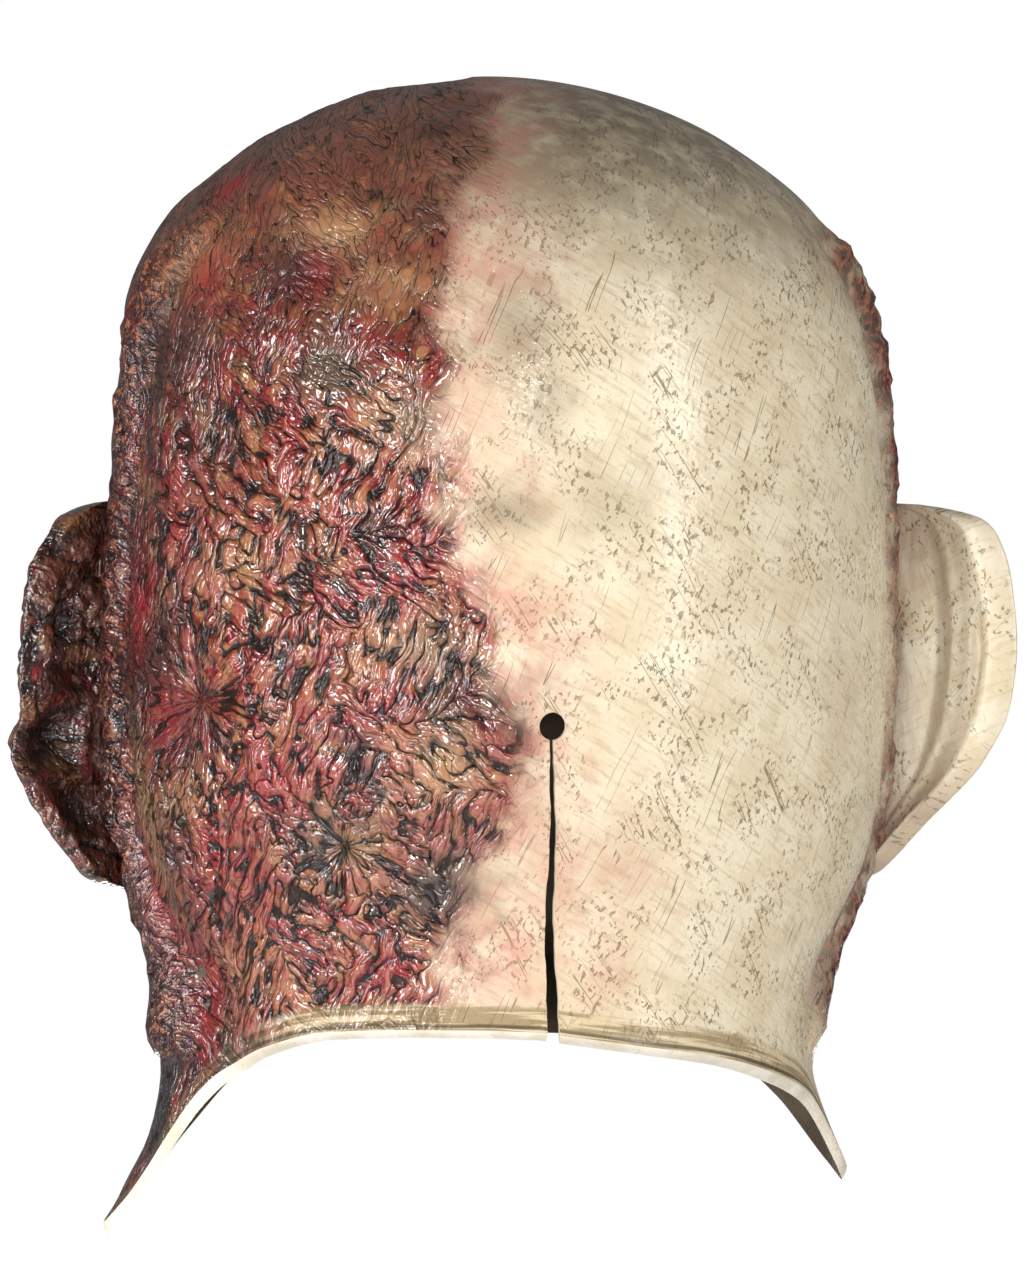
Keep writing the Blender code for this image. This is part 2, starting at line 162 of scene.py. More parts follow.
EarRow = namedtuple("EarRow", "down left right")
EAR_ROWS = (
    EarRow(0.00, 0.28, 0.54),
    EarRow(0.08, 0.54, 0.82),
    EarRow(0.20, 0.74, 0.94),
    EarRow(0.40, 0.78, 1.00),
    EarRow(0.53, 0.77, 0.97),
    EarRow(0.67, 0.80, 0.80),
    EarRow(0.84, 0.66, 0.42),
    EarRow(1.00, 0.40, 0.12),
)

FaceForm = namedtuple("FaceForm", "name side drop half_width half_height rise")
FACE_FORMS = (
    FaceForm("brow", 0.030, EYE_DROP - 0.017, 0.026, 0.009, 0.0060),
    FaceForm("glabella", 0.0, EYE_DROP - 0.013, 0.014, 0.012, 0.0030),
    FaceForm("eye_socket", EYE_SPACING / 2, EYE_DROP, 0.024, 0.016, -0.0080),
    FaceForm("eyelid_mound", EYE_SPACING / 2, EYE_DROP, 0.016, 0.012, 0.0035),
    FaceForm("nose_bridge", 0.0, NOSE_DROP - 0.020, 0.010, 0.020, 0.0110),
    FaceForm("nose_root", 0.0, NOSE_DROP, 0.024, 0.020, 0.0030),
    FaceForm("cheek", 0.047, NOSE_DROP - 0.004, 0.022, 0.017, 0.0070),
    FaceForm("muzzle", 0.0, MOUTH_DROP - 0.003, 0.030, 0.018, 0.0060),
    FaceForm("upper_lip", 0.0, MOUTH_DROP - 0.006, 0.022, 0.006, 0.0040),
    FaceForm("lower_lip", 0.0, MOUTH_DROP + 0.006, 0.019, 0.006, 0.0045),
    FaceForm("chin_crease", 0.0, MOUTH_DROP + 0.015, 0.020, 0.006, -0.0030),
    FaceForm("chin", 0.0, MOUTH_DROP + 0.029, 0.019, 0.011, 0.0080),
)

Scar = namedtuple("Scar", "name angle drop size rise")
SCARS = (
    Scar("temple_bulge", 82, 0.052, 0.021, 0.0030),
    Scar("crown_pit", 37, 0.056, 0.011, -0.0028),
    Scar("scalp_knot", 22, 0.078, 0.010, 0.0026),
    Scar("scalp_hollow", 52, 0.100, 0.020, -0.0025),
    Scar("upper_fold", 30, 0.132, 0.016, 0.0024),
    Scar("middle_hollow", 14, 0.150, 0.012, -0.0022),
    Scar("bruised_swelling", 10, 0.172, 0.012, 0.0026),
    Scar("pucker", 62, 0.168, 0.012, -0.0034),
    Scar("jaw_swelling", 97, 0.176, 0.018, 0.0030),
    Scar("neck_bulge", 88, 0.242, 0.024, 0.0098),
    Scar("neck_groove", 68, 0.232, 0.009, -0.0034),
    Scar("neck_cord", 54, 0.240, 0.008, 0.0022),
    Scar("right_neck_ridge", -88, 0.236, 0.016, 0.0022),
)

LipPoint = namedtuple("LipPoint", "drop angle")
TORN_LIP = (
    LipPoint(0.034, 66),
    LipPoint(0.060, 74),
    LipPoint(0.100, 80),
    LipPoint(0.150, 84),
    LipPoint(0.205, 84),
    LipPoint(0.235, 80),
    LipPoint(0.262, 84),
)

# Where the burned skin ends, by drop: behind, and on the face
BurnEdge = namedtuple("BurnEdge", "drop back face")
BURN_EDGE = (
    BurnEdge(0.000, 12, 168),
    BurnEdge(0.018, 12, 150),
    BurnEdge(0.044, 16, 138),
    BurnEdge(0.064, 17, 130),
    BurnEdge(0.088, 19, 122),
    BurnEdge(0.108, 17, 116),
    BurnEdge(0.127, 15, 113),
    BurnEdge(0.146, 11, 118),
    BurnEdge(0.160, 8, 124),
    BurnEdge(0.175, 7, 128),
    BurnEdge(0.200, 10, 130),
    BurnEdge(0.230, 15, 132),
    BurnEdge(0.242, 18, 132),
    BurnEdge(0.300, 20, 132),
)

# Folds that run together into a point of shrunken skin
Pucker = namedtuple("Pucker", "angle drop size folds depth star")
PUCKERS = (
    Pucker(33, 0.080, 0.017, 9, 0.0013, 0.0),
    Pucker(57, 0.161, 0.025, 14, 0.0015, 1.0),
    Pucker(67, 0.146, 0.018, 10, 0.0010, 0.0),
    Pucker(30, 0.197, 0.022, 12, 0.0014, 0.6),
    Pucker(42, 0.054, 0.013, 8, 0.0010, 0.0),
)

# Spots of paint by hand: the place, its size round the head and down it, and its strength
Spot = namedtuple("Spot", "angle drop across down strength")
DARK_SPOTS = (
    Spot(21, 0.020, 0.008, 0.004, 0.75),
    Spot(42, 0.0545, 0.009, 0.009, 0.95),
    Spot(48, 0.047, 0.006, 0.005, 0.6),
    Spot(12, 0.161, 0.011, 0.006, 0.85),
    Spot(7, 0.166, 0.006, 0.004, 0.6),
    Spot(16, 0.2075, 0.009, 0.008, 1.0),
    Spot(29, 0.0365, 0.003, 0.002, 0.9),
    Spot(33, 0.080, 0.010, 0.006, 0.7),
    Spot(60, 0.074, 0.012, 0.008, 0.6),
    Spot(56, 0.0965, 0.010, 0.012, 0.6),
    Spot(66, 0.150, 0.011, 0.012, 0.8),
    Spot(60, 0.172, 0.012, 0.008, 0.6),
    Spot(92, 0.200, 0.016, 0.020, 0.6),
    Spot(26, 0.189, 0.010, 0.006, 0.5),
    Spot(34, 0.197, 0.014, 0.007, 0.6),
    Spot(88, 0.228, 0.014, 0.012, 0.8),
    Spot(84, 0.120, 0.007, 0.024, 0.6),
)
BLOOD_SPOTS = (
    Spot(39, 0.0545, 0.006, 0.007, 0.9),
    Spot(28, 0.0755, 0.005, 0.008, 1.0),
    Spot(35, 0.074, 0.005, 0.009, 0.5),
    Spot(42, 0.1805, 0.007, 0.009, 1.0),
    Spot(54, 0.1985, 0.006, 0.009, 1.0),
    Spot(39, 0.0965, 0.005, 0.018, 0.9),
    Spot(37, 0.115, 0.004, 0.012, 0.6),
    Spot(64, 0.032, 0.007, 0.005, 0.6),
    Spot(23, 0.227, 0.005, 0.004, 0.9),
    Spot(60, 0.1205, 0.004, 0.012, 0.8),
    Spot(62, 0.1055, 0.005, 0.007, 0.8),
    Spot(29, 0.140, 0.008, 0.007, 0.6),
    Spot(46, 0.2105, 0.006, 0.010, 0.6),
    Spot(22, 0.130, 0.012, 0.009, 0.7),
    Spot(15, 0.136, 0.008, 0.007, 0.5),
    Spot(60, 0.054, 0.009, 0.008, 0.6),
    Spot(72, 0.138, 0.008, 0.016, 0.7),
    Spot(64, 0.165, 0.012, 0.012, 0.8),
    Spot(58, 0.213, 0.007, 0.014, 0.7),
    Spot(76, 0.214, 0.006, 0.020, 0.8),
    Spot(70, 0.238, 0.006, 0.018, 0.8),
    Spot(26, 0.165, 0.010, 0.006, 0.5),
)
OLIVE_SPOTS = (
    Spot(5, 0.071, 0.009, 0.014, 0.8),
    Spot(2, 0.0875, 0.008, 0.012, 0.6),
    Spot(33, 0.080, 0.010, 0.009, 0.9),
    Spot(8, 0.1145, 0.010, 0.007, 0.8),
    Spot(20, 0.092, 0.008, 0.008, 0.7),
    Spot(16, 0.1475, 0.008, 0.008, 0.8),
    Spot(14, 0.206, 0.010, 0.010, 0.7),
    Spot(4, 0.030, 0.020, 0.012, 0.5),
    Spot(-6, 0.112, 0.014, 0.010, 0.35),
)
TAN_SPOTS = (
    Spot(36, 0.0455, 0.012, 0.006, 0.9),
    Spot(25, 0.092, 0.008, 0.008, 0.7),
    Spot(23, 0.146, 0.010, 0.007, 0.8),
    Spot(37, 0.116, 0.006, 0.012, 0.5),
    Spot(63, 0.050, 0.014, 0.008, 0.5),
    Spot(29, 0.197, 0.012, 0.008, 0.8),
    Spot(15, 0.1745, 0.010, 0.009, 1.0),
    Spot(56, 0.2255, 0.010, 0.010, 0.6),
    Spot(49, 0.1265, 0.008, 0.010, 0.5),
    Spot(60, 0.185, 0.010, 0.008, 0.6),
    Spot(24, 0.060, 0.014, 0.008, 0.6),
    Spot(72, 0.190, 0.007, 0.022, 0.6),
)
PINK_SPOTS = (
    Spot(12, 0.057, 0.016, 0.010, 0.9),
    Spot(4, 0.107, 0.010, 0.008, 0.5),
    Spot(3, 0.145, 0.014, 0.016, 0.7),
    Spot(8, 0.136, 0.012, 0.012, 0.8),
    Spot(4, 0.180, 0.016, 0.014, 0.8),
    Spot(-3, 0.205, 0.022, 0.018, 0.6),
    Spot(6, 0.222, 0.016, 0.012, 0.9),
    Spot(-8, 0.228, 0.014, 0.010, 0.5),
    Spot(10, 0.094, 0.010, 0.010, 0.6),
    Spot(5, 0.160, 0.012, 0.010, 0.7),
)


def smooth_curve(places, values):
    """A curve through the values that never overshoots them, for a number or an array of them."""
    places = np.asarray(places, dtype=float)
    values = np.asarray(values, dtype=float)
    steps = np.diff(places)
    rises = np.diff(values) / steps
    before, after = rises[:-1], rises[1:]
    same_way = before * after > 0
    total = np.where(same_way, before + after, 1.0)
    bends = np.where(same_way, 2 * before * after / total, 0.0)
    slopes = np.concatenate(([rises[0]], bends, [rises[-1]]))

    def curve(place):
        held = np.clip(place, places[0], places[-1])
        row = np.clip(np.searchsorted(places, held, side="right") - 1, 0, len(steps) - 1)
        step = steps[row]
        t = (held - places[row]) / step
        start = (1 + 2 * t) * (1 - t) ** 2 * values[row] + t * (1 - t) ** 2 * step * slopes[row]
        end = t * t * (3 - 2 * t) * values[row + 1] + t * t * (t - 1) * step * slopes[row + 1]
        return start + end

    return curve


def smooth_step(low, high, value):
    t = np.clip((value - low) / (high - low), 0.0, 1.0)
    return t * t * (3 - 2 * t)


def section_curve(column, size, squared=False):
    """One column of SECTIONS as a curve by drop. An extent is squared, so the crown is round."""
    drops = [section.drop * NAPE_DROP for section in SECTIONS]
    values = [getattr(section, column) * size for section in SECTIONS]
    if not squared:
        return smooth_curve(drops, values)
    square = smooth_curve(drops, [value * value for value in values])
    return lambda drop: np.sqrt(np.maximum(square(drop), 0.0))


half_width_at = section_curve("half_width", HALF_WIDTH, squared=True)
centre_at = section_curve("centre", HEAD_DEPTH)
front_at = section_curve("front", HEAD_DEPTH, squared=True)
back_at = section_curve("back", HEAD_DEPTH, squared=True)
front_taper_at = section_curve("front_taper", 1.0)
back_taper_at = section_curve("back_taper", 1.0)
edge_angles = [point.angle for point in NECK_EDGE]
left_edge = smooth_curve(edge_angles, [point.left for point in NECK_EDGE])
right_edge = smooth_curve(edge_angles, [point.right for point in NECK_EDGE])
ear_downs = [row.down for row in EAR_ROWS]
left_reach_at = smooth_curve(ear_downs, [row.left for row in EAR_ROWS])
right_reach_at = smooth_curve(ear_downs, [row.right for row in EAR_ROWS])
lip_angle_at = smooth_curve([p.drop for p in TORN_LIP], [math.radians(p.angle) for p in TORN_LIP])
burn_drops = [edge.drop for edge in BURN_EDGE]
burn_back_at = smooth_curve(burn_drops, [math.radians(edge.back) for edge in BURN_EDGE])
burn_face_at = smooth_curve(burn_drops, [math.radians(edge.face) for edge in BURN_EDGE])


def neck_edge_drop(angle):
    """How far below the crown the casting ends at these angles."""
    degrees = np.degrees(np.abs(angle))
    left = angle >= 0
    share = np.where(left, left_edge(degrees), right_edge(degrees))
    tip = np.where(left, LEFT_FLAP_DROP, RIGHT_FLAP_DROP)
    towards_face = smooth_step(math.radians(70), math.radians(110), np.abs(angle))
    neck = NAPE_DROP + (THROAT_DROP - NAPE_DROP) * towards_face
    return neck + (tip - neck) * share


def flare_at(angle, drop):
    """How far a shoulder flap stands out from the neck."""
    left = angle >= 0
    tip = np.where(left, LEFT_FLAP_DROP, RIGHT_FLAP_DROP)
    flare = np.where(left, LEFT_FLARE, RIGHT_FLARE)
    down = np.maximum(drop - PINCH_DROP, 0.0) / (tip - PINCH_DROP)
    return flare * down**1.2 * np.abs(np.sin(angle)) ** 3


def skin_point(angle, drop):
    """Points on the outside of the plain head form, as rows of x, y and z."""
    to_side, to_back = np.sin(angle), np.cos(angle)
    behind = to_back >= 0
    reach = np.where(behind, back_at(drop), front_at(drop))
    taper = np.where(behind, back_taper_at(drop), front_taper_at(drop))
    x = (half_width_at(drop) + flare_at(angle, drop)) * to_side * (1 - taper * to_back**2)
    x = x + CROWN_LEAN * (1 - smooth_step(0.0, LEAN_END_DROP, drop))
    return np.stack([x, centre_at(drop) + reach * to_back, CROWN_TOP - drop], axis=-1)


def skin_normal(angle, drop):
    """Outward directions of the plain head form."""
    turn, fall = math.radians(0.5), 0.0008
    around = skin_point(angle + turn, drop) - skin_point(angle - turn, drop)
    upper = np.maximum(drop - fall, 0.0)
    down = skin_point(angle, upper + 2 * fall) - skin_point(angle, upper)
    normal = np.cross(around, down)
    length = np.linalg.norm(normal, axis=-1, keepdims=True)
    straight_up = np.array([0.0, 0.0, 1.0])
    return np.where(length > 1e-9, normal / np.maximum(length, 1e-9), straight_up)


def field(points, size, seed=0):
    """Smooth noise between about -1 and 1, for features of this size in metres."""
    scaled = points / size + seed * 17.31
    return np.array([noise.noise(Vector(point)) for point in scaled.tolist()])


def warp(points, size, amount, seed=0):
    """Points pushed about by smooth noise."""
    push = [field(points, size, seed + axis) for axis in (1, 2, 3)]
    return points + amount * np.stack(push, axis=-1)


def fold(points, size, seed=0, width=0.32):
    """Rounded folds with narrow creases between them, from 0 in a crease to 1 on a fold."""
    return np.sqrt(np.clip(np.abs(field(points, size, seed)) / width, 0.0, 1.0))


def arc_offsets(angle, drop, spot_angle, spot_drop):
    """Distances round and down the head from a place on it."""
    round_head = (angle - math.radians(spot_angle)) * np.maximum(half_width_at(drop), 0.004)
    return round_head, drop - spot_drop


def spot_paint(angle, drop, spots, points):
    """Strength of hand-painted spots, with ragged outlines."""
    ragged = 0.5 * field(points, 0.007, 5) + 0.35 * field(points, 0.003, 6)
    total = np.zeros(len(angle))
    for spot in spots:
        across, down = arc_offsets(angle, drop, spot.angle, spot.drop)
        far = np.hypot(across / spot.across, down / spot.down) * (1 + ragged)
        total = np.maximum(total, spot.strength * np.exp(-far * far))
    return total


def face_relief(points):
    """Rise of the features of the face above the plain form."""
    drop = CROWN_TOP - points[:, 2]
    rise = np.zeros(len(points))
    for form in FACE_FORMS:
        across = (np.abs(points[:, 0]) - form.side) / form.half_width
        down = (drop - form.drop) / form.half_height
        rise += form.rise * np.exp(-across * across - down * down)
    return rise * smooth_step(0.015, 0.045, -points[:, 1])


def scar_relief(angle, drop):
    rise = np.zeros(len(angle))
    for scar in SCARS:
        across, down = arc_offsets(angle, drop, scar.angle, scar.drop)
        rise += scar.rise * np.exp(-(across**2 + down**2) / scar.size**2)
    return rise


def lip_share(angle, drop, points, ragged=0.0):
    """1 on the crest of the torn lip of skin on either side, falling to 0 beside it."""
    jitter = ragged * (0.0022 * field(points, 0.011, 8) + 0.0012 * field(points, 0.004, 9))
    across = ((np.abs(angle) - lip_angle_at(drop)) * half_width_at(drop) + jitter) / LIP_WIDTH
    ends = smooth_step(LIP_TOP_DROP, LIP_TOP_DROP + LIP_FADE, drop)
    ends = ends * (1 - smooth_step(PINCH_DROP - LIP_FADE / 2, PINCH_DROP + LIP_FADE / 2, drop))
    return across, ends * np.exp(-across * across)


def burn_depth(angle, drop, points):
    """How far a place lies inside the burned skin, in metres. It is negative outside."""
    width = np.maximum(half_width_at(drop), 0.010)
    from_back = (angle - burn_back_at(drop)) * width
    from_face = (burn_face_at(drop) - angle) * width
    ragged = 0.0065 * field(points, 0.030, 10) + 0.0075 * field(points, 0.012, 11)
    ragged += 0.0045 * field(points, 0.0045, 12)
    return np.minimum(from_back, from_face) + ragged


def pucker_relief(angle, drop, points):
    """Folds that radiate from the puckers, and how much they take over from the other folds."""
    rise, share = np.zeros(len(angle)), np.zeros(len(angle))
    wobble = 0.9 * field(points, 0.006, 21)
    for pucker in PUCKERS:
        across, down = arc_offsets(angle, drop, pucker.angle, pucker.drop)
        far = np.hypot(across, down) / pucker.size
        near = np.exp(-far * far)
        rays = np.abs(np.sin(pucker.folds / 2 * np.arctan2(down, across) + wobble + 2.0 * far))
        rise += pucker.depth * near * (np.sqrt(rays) - 0.9) * smooth_step(0.05, 0.35, far)
        rise -= pucker.depth * 0.9 * np.exp(-((far / 0.35) ** 2))
        share = np.maximum(share, near)
    return rise, share


def skin_relief(angle, drop, points):
    """Rise of the outside above the plain head form, and the crease depth for the paint."""
    rise = face_relief(points) + scar_relief(angle, drop)
    lip_across, lip = lip_share(angle, drop, points, ragged=1.0)
    tatters = 0.75 + 0.45 * field(points, 0.0055, 31) + 0.25 * field(points, 0.0026, 32)
    rise += LIP_HEIGHT * lip * tatters
    behind_lip = np.exp(-((lip_across + 1.25) ** 2) / 0.16)
    rise -= 0.0016 * behind_lip * lip_ends(drop)

    depth = burn_depth(angle, drop, points)
    burned = smooth_step(-0.005, 0.010, depth)
    side_band = smooth_step(math.radians(58), math.radians(72), angle)
    middle = smooth_step(0.070, 0.095, drop)
    strength = burned * (0.40 + 0.60 * middle) * (1 - 0.35 * side_band)
    strength *= 1 - 0.75 * smooth_step(NAPE_DROP - 0.016, NAPE_DROP - 0.004, drop)
    upright = np.array([1.0, 1.0, 0.62])
    streaked = np.array([1.0, 1.0, 0.30])
    stretched = points * (upright + (streaked - upright) * side_band[:, None])
    creased = warp(stretched, 0.011, 0.0042, 40)
    broad = fold(creased, 0.0078, 44)
    fine = fold(creased, 0.0040, 45)
    pucker_rise, puckered = pucker_relief(angle, drop, points)
    folds = 0.00125 * (broad - 0.8) + 0.00062 * (fine - 0.8)
    rise += strength * (folds * (1 - 0.6 * puckered) + pucker_rise)
    rise += burned * (0.0011 * field(points, 0.026, 50) + 0.0006 * field(points, 0.012, 51))
    rise += 0.00025 * field(points, 0.030, 52)
    crease = np.clip(1 - 0.62 * broad - 0.38 * fine, 0, 1) * strength
    return rise, crease


def lip_ends(drop):
    """1 along the torn lip, fading out at its two ends."""
    ends = smooth_step(LIP_TOP_DROP, LIP_TOP_DROP + LIP_FADE, drop)
    return ends * (1 - smooth_step(PINCH_DROP - LIP_FADE, PINCH_DROP, drop))


# How far apart the columns of the mesh stand round the head: fine on the burned side
Spacing = namedtuple("Spacing", "angle gap")
COLUMN_GAPS = (
    Spacing(-180, 1.9),
    Spacing(-120, 2.4),
    Spacing(-60, 2.6),
    Spacing(-28, 2.0),
    Spacing(-12, 1.15),
    Spacing(108, 1.10),
    Spacing(124, 1.7),
    Spacing(180, 1.9),
)


def column_angles():
    """The angle of each column of the mesh, starting at the middle of the face."""
    degrees = np.linspace(-180, 180, 721)
    gaps = smooth_curve([s.angle for s in COLUMN_GAPS], [s.gap for s in COLUMN_GAPS])(degrees)
    density = 1 / gaps
    total = np.concatenate(([0.0], np.cumsum((density[1:] + density[:-1]) / 2)))
    wanted = np.arange(COLUMNS) / COLUMNS * total[-1]
    return np.radians(np.interp(wanted, total, degrees))


def row_shares(rows):
    """Shares of the drop to the nape for rows that are evenly spaced along the skin."""
    share = np.linspace(0, 1, 600) ** 2
    line = skin_point(np.full(600, math.radians(40)), share * NAPE_DROP)
    steps = np.linalg.norm(np.diff(line, axis=0), axis=1)
    along = np.concatenate(([0.0], np.cumsum(steps)))
    return np.interp(np.linspace(0, 1, rows + 1) * along[-1], along, share)


def to_neck_edge(share, angle):
    """The drop at a share of the way to the neck edge. The lower rows follow the edge."""
    stretch = smooth_step(0.80, 1.0, share)
    return share * NAPE_DROP + stretch * (neck_edge_drop(angle) - NAPE_DROP)


def coordinates(mesh):
    points = np.empty(len(mesh.vertices) * 3)
    mesh.vertices.foreach_get("co", points)
    return points.reshape(-1, 3)


def set_coordinates(mesh, points):
    mesh.vertices.foreach_set("co", np.asarray(points, dtype=np.float32).ravel())
    mesh.update()


def ball_mesh(name, columns, rows):
    """A plain ball to shape: its mesh, and the column and row of each point."""
    mesh = bpy.data.meshes.new(name)
    shape = bmesh.new()
    bmesh.ops.create_uvsphere(shape, u_segments=columns, v_segments=rows, radius=1.0)
    shape.to_mesh(mesh)
    shape.free()
    points = coordinates(mesh)
    turn = np.arctan2(points[:, 0], points[:, 1]) % math.tau
    column = np.rint(turn / math.tau * columns).astype(int) % columns
    row = np.rint(np.arccos(np.clip(points[:, 2], -1, 1)) / math.pi * rows).astype(int)
    return mesh, column, row


def head_skin():
    """The casting of the head as one closed skin: out over the crown, round the cut neck edge
    and up the inside. Returns its mesh and the paint values of its points."""
    rows = OUTER_ROWS + CUT_ROWS + INNER_ROWS
    mesh, column, row = ball_mesh("mask_skin", COLUMNS, rows)
    angle = column_angles()[column]
    outside = row <= OUTER_ROWS
    inside = row >= OUTER_ROWS + CUT_ROWS
    outer_share = row_shares(OUTER_ROWS)[np.minimum(row, OUTER_ROWS)]
    inner_share = row_shares(INNER_ROWS)[np.clip(rows - row, 0, INNER_ROWS)]
    share = np.where(outside, outer_share, inner_share)
    cut = np.clip((row - OUTER_ROWS) / CUT_ROWS, 0, 1)
    drop = to_neck_edge(share, angle) + CUT_SLANT * cut * smooth_step(0.8, 1.0, share)
    plain = skin_point(angle, drop)
    normal = skin_normal(angle, drop)
    broad = face_relief(plain) + scar_relief(angle, drop)
    broad += 0.5 * LIP_HEIGHT * lip_share(angle, drop, plain)[1]
    detail, crease = skin_relief(angle, drop, plain)
    detail = np.maximum(detail, broad - 0.0019)
    near_cut = smooth_step(0.0, 0.004, neck_edge_drop(angle) - drop)
    outer_rise = broad + (detail - broad) * near_cut
    under = broad + 0.6 * np.minimum(scar_relief(angle, drop), 0) - WALL
    rise = np.where(outside, outer_rise, broad) * (1 - cut) + under * cut
    bulge = 0.0004 * np.sin(math.pi * cut)
    set_coordinates(mesh, plain + normal * (rise + bulge)[:, None])
    paint = skin_paint(angle, drop, plain, crease * near_cut)
    paint["inside"] = np.where(inside, 1.0, 0.5 * (cut > 0))
    return mesh, paint


def skin_paint(angle, drop, points, crease):
    """The masks that the skin's paint reads, one value a point."""
    depth = burn_depth(angle, drop, points)
    lip_across, lip = lip_share(angle, drop, points, ragged=1.0)
    width = np.maximum(half_width_at(drop), 0.010)
    beside_lip = (np.abs(angle) - lip_angle_at(drop)) * width
    spread = 0.0105 + 0.0085 * np.exp(-(((drop - 0.055) / 0.028) ** 2))
    spread += 0.0050 * np.exp(-(((drop - 0.215) / 0.026) ** 2)) + 0.0070 * field(points, 0.013, 14)
    before_lip = np.maximum(-beside_lip, 0) / np.maximum(spread, 0.004)
    past_lip = np.maximum(beside_lip, 0) / np.maximum(0.015 + 0.012 * field(points, 0.015, 15), 0.005)
    torn = np.exp(-(before_lip**2)) * np.exp(-(past_lip**2)) * lip_ends(drop)
    blush = np.exp(-((np.minimum(depth - 0.002, 0) / 0.019) ** 2))
    paint = {
        "burn": smooth_step(-0.0085, 0.0050, depth),
        "swell": smooth_step(-0.016, 0.006, depth) * (0.35 + 0.65 * smooth_step(-0.006, 0.006, depth)),
        "crease": crease,
        "blush": np.maximum(0.80 * blush, spot_paint(angle, drop, PINK_SPOTS, points)),
        "dark": spot_paint(angle, drop, DARK_SPOTS, points),
        "blood": spot_paint(angle, drop, BLOOD_SPOTS, points),
        "olive": spot_paint(angle, drop, OLIVE_SPOTS, points),
        "tan": spot_paint(angle, drop, TAN_SPOTS, points),
        "torn": np.where(angle < 0, torn, 0.6 * lip),
        "ridge": lip,
        "side": smooth_step(math.radians(50), math.radians(72), angle),
        "trim": (neck_edge_drop(angle) - drop) * 1000,
        "banded": 1 - 0.85 * smooth_step(math.radians(40), math.radians(58), angle),
        "crown": 1 - smooth_step(0.010, 0.085, drop),
        "folds": smooth_step(0.070, 0.100, drop) * (1 - 0.6 * smooth_step(math.radians(56), math.radians(76), angle)),
        "skin_x": angle * width,
        "skin_y": drop,
        "matt": smooth_step(0.085, 0.050, drop) * 0.8
        + 0.5 * smooth_step(math.radians(48), math.radians(70), angle) * (1 - 0.6 * smooth_step(0.10, 0.14, drop)),
    }
    paint.update(makeup_paint(points))
    paint.update(star_paint(angle, drop))
    return paint


def star_paint(angle, drop):
    """Where each place lies in the star of folds round the nearest pucker."""
    share = np.zeros(len(angle))
    rays_x, rays_y, far_out = np.zeros(len(angle)), np.zeros(len(angle)), np.zeros(len(angle))
    for pucker in PUCKERS:
        across, down = arc_offsets(angle, drop, pucker.angle, pucker.drop)
        far = np.hypot(across, down)
        near = pucker.star * np.exp(-((far / pucker.size) ** 2))
        closer = near > share
        share = np.where(closer, near, share)
        rays_x = np.where(closer, across / np.maximum(far, 0.0008) * pucker.size * 0.62, rays_x)
        rays_y = np.where(closer, down / np.maximum(far, 0.0008) * pucker.size * 0.62, rays_y)
        far_out = np.where(closer, far * 0.28, far_out)
    return {"star": share, "star_x": rays_x, "star_y": rays_y, "star_far": far_out}


def makeup_paint(points):
    """Masks of the painted face: lips, the brow marks, and the paint round the eyes."""
    drop = CROWN_TOP - points[:, 2]
    side = np.abs(points[:, 0])
    face = smooth_step(0.010, 0.030, -points[:, 1])
    smile = MOUTH_DROP - 0.010 * (side / 0.034) ** 2
    lips = np.hypot(side / 0.036, (drop - smile) / 0.0105)
    brow_arch = EYE_DROP - 0.030 - 0.010 * np.exp(-(((side - 0.034) / 0.015) ** 2))
    brow = np.hypot((side - 0.034) / 0.019, (drop - brow_arch) / 0.0028)
    socket = np.hypot((side - EYE_SPACING / 2) / 0.021, (drop - EYE_DROP) / 0.0145)
    return {
        "lips": (1 - smooth_step(0.90, 1.02, lips)) * face,
        "brow": (1 - smooth_step(0.80, 1.10, brow)) * face,
        "socket": (1 - smooth_step(0.85, 1.35, socket)) * face,
        "face": face,
    }


def cylinder(width, height, depth, place, sides=32):
    """A cutter along Y with an oval outline, as a mesh."""
    mesh = bpy.data.meshes.new("cutter")
    shape = bmesh.new()
    bmesh.ops.create_cone(
        shape,
        cap_ends=True,
        segments=sides,
        radius1=0.5,
        radius2=0.5,
        depth=1.0,
        matrix=Matrix.Translation(place)
        @ Matrix.Diagonal((width, depth, height, 1.0))
        @ Matrix.Rotation(math.radians(90), 4, "X")
        @ Matrix.Rotation(math.radians(180 / sides), 4, "Z"),
    )
    shape.to_mesh(mesh)
    shape.free()
    return mesh


def face_y(side, drop):
    """Where the face stands at this side and drop, measured along Y."""
    angles = np.linspace(math.radians(91), math.radians(180), 400)
    line = skin_point(angles, np.full(400, drop))
    nearest = line[np.argmin(np.abs(line[:, 0] - abs(side)))][None, :]
    return float(nearest[0, 1] - face_relief(nearest)[0])


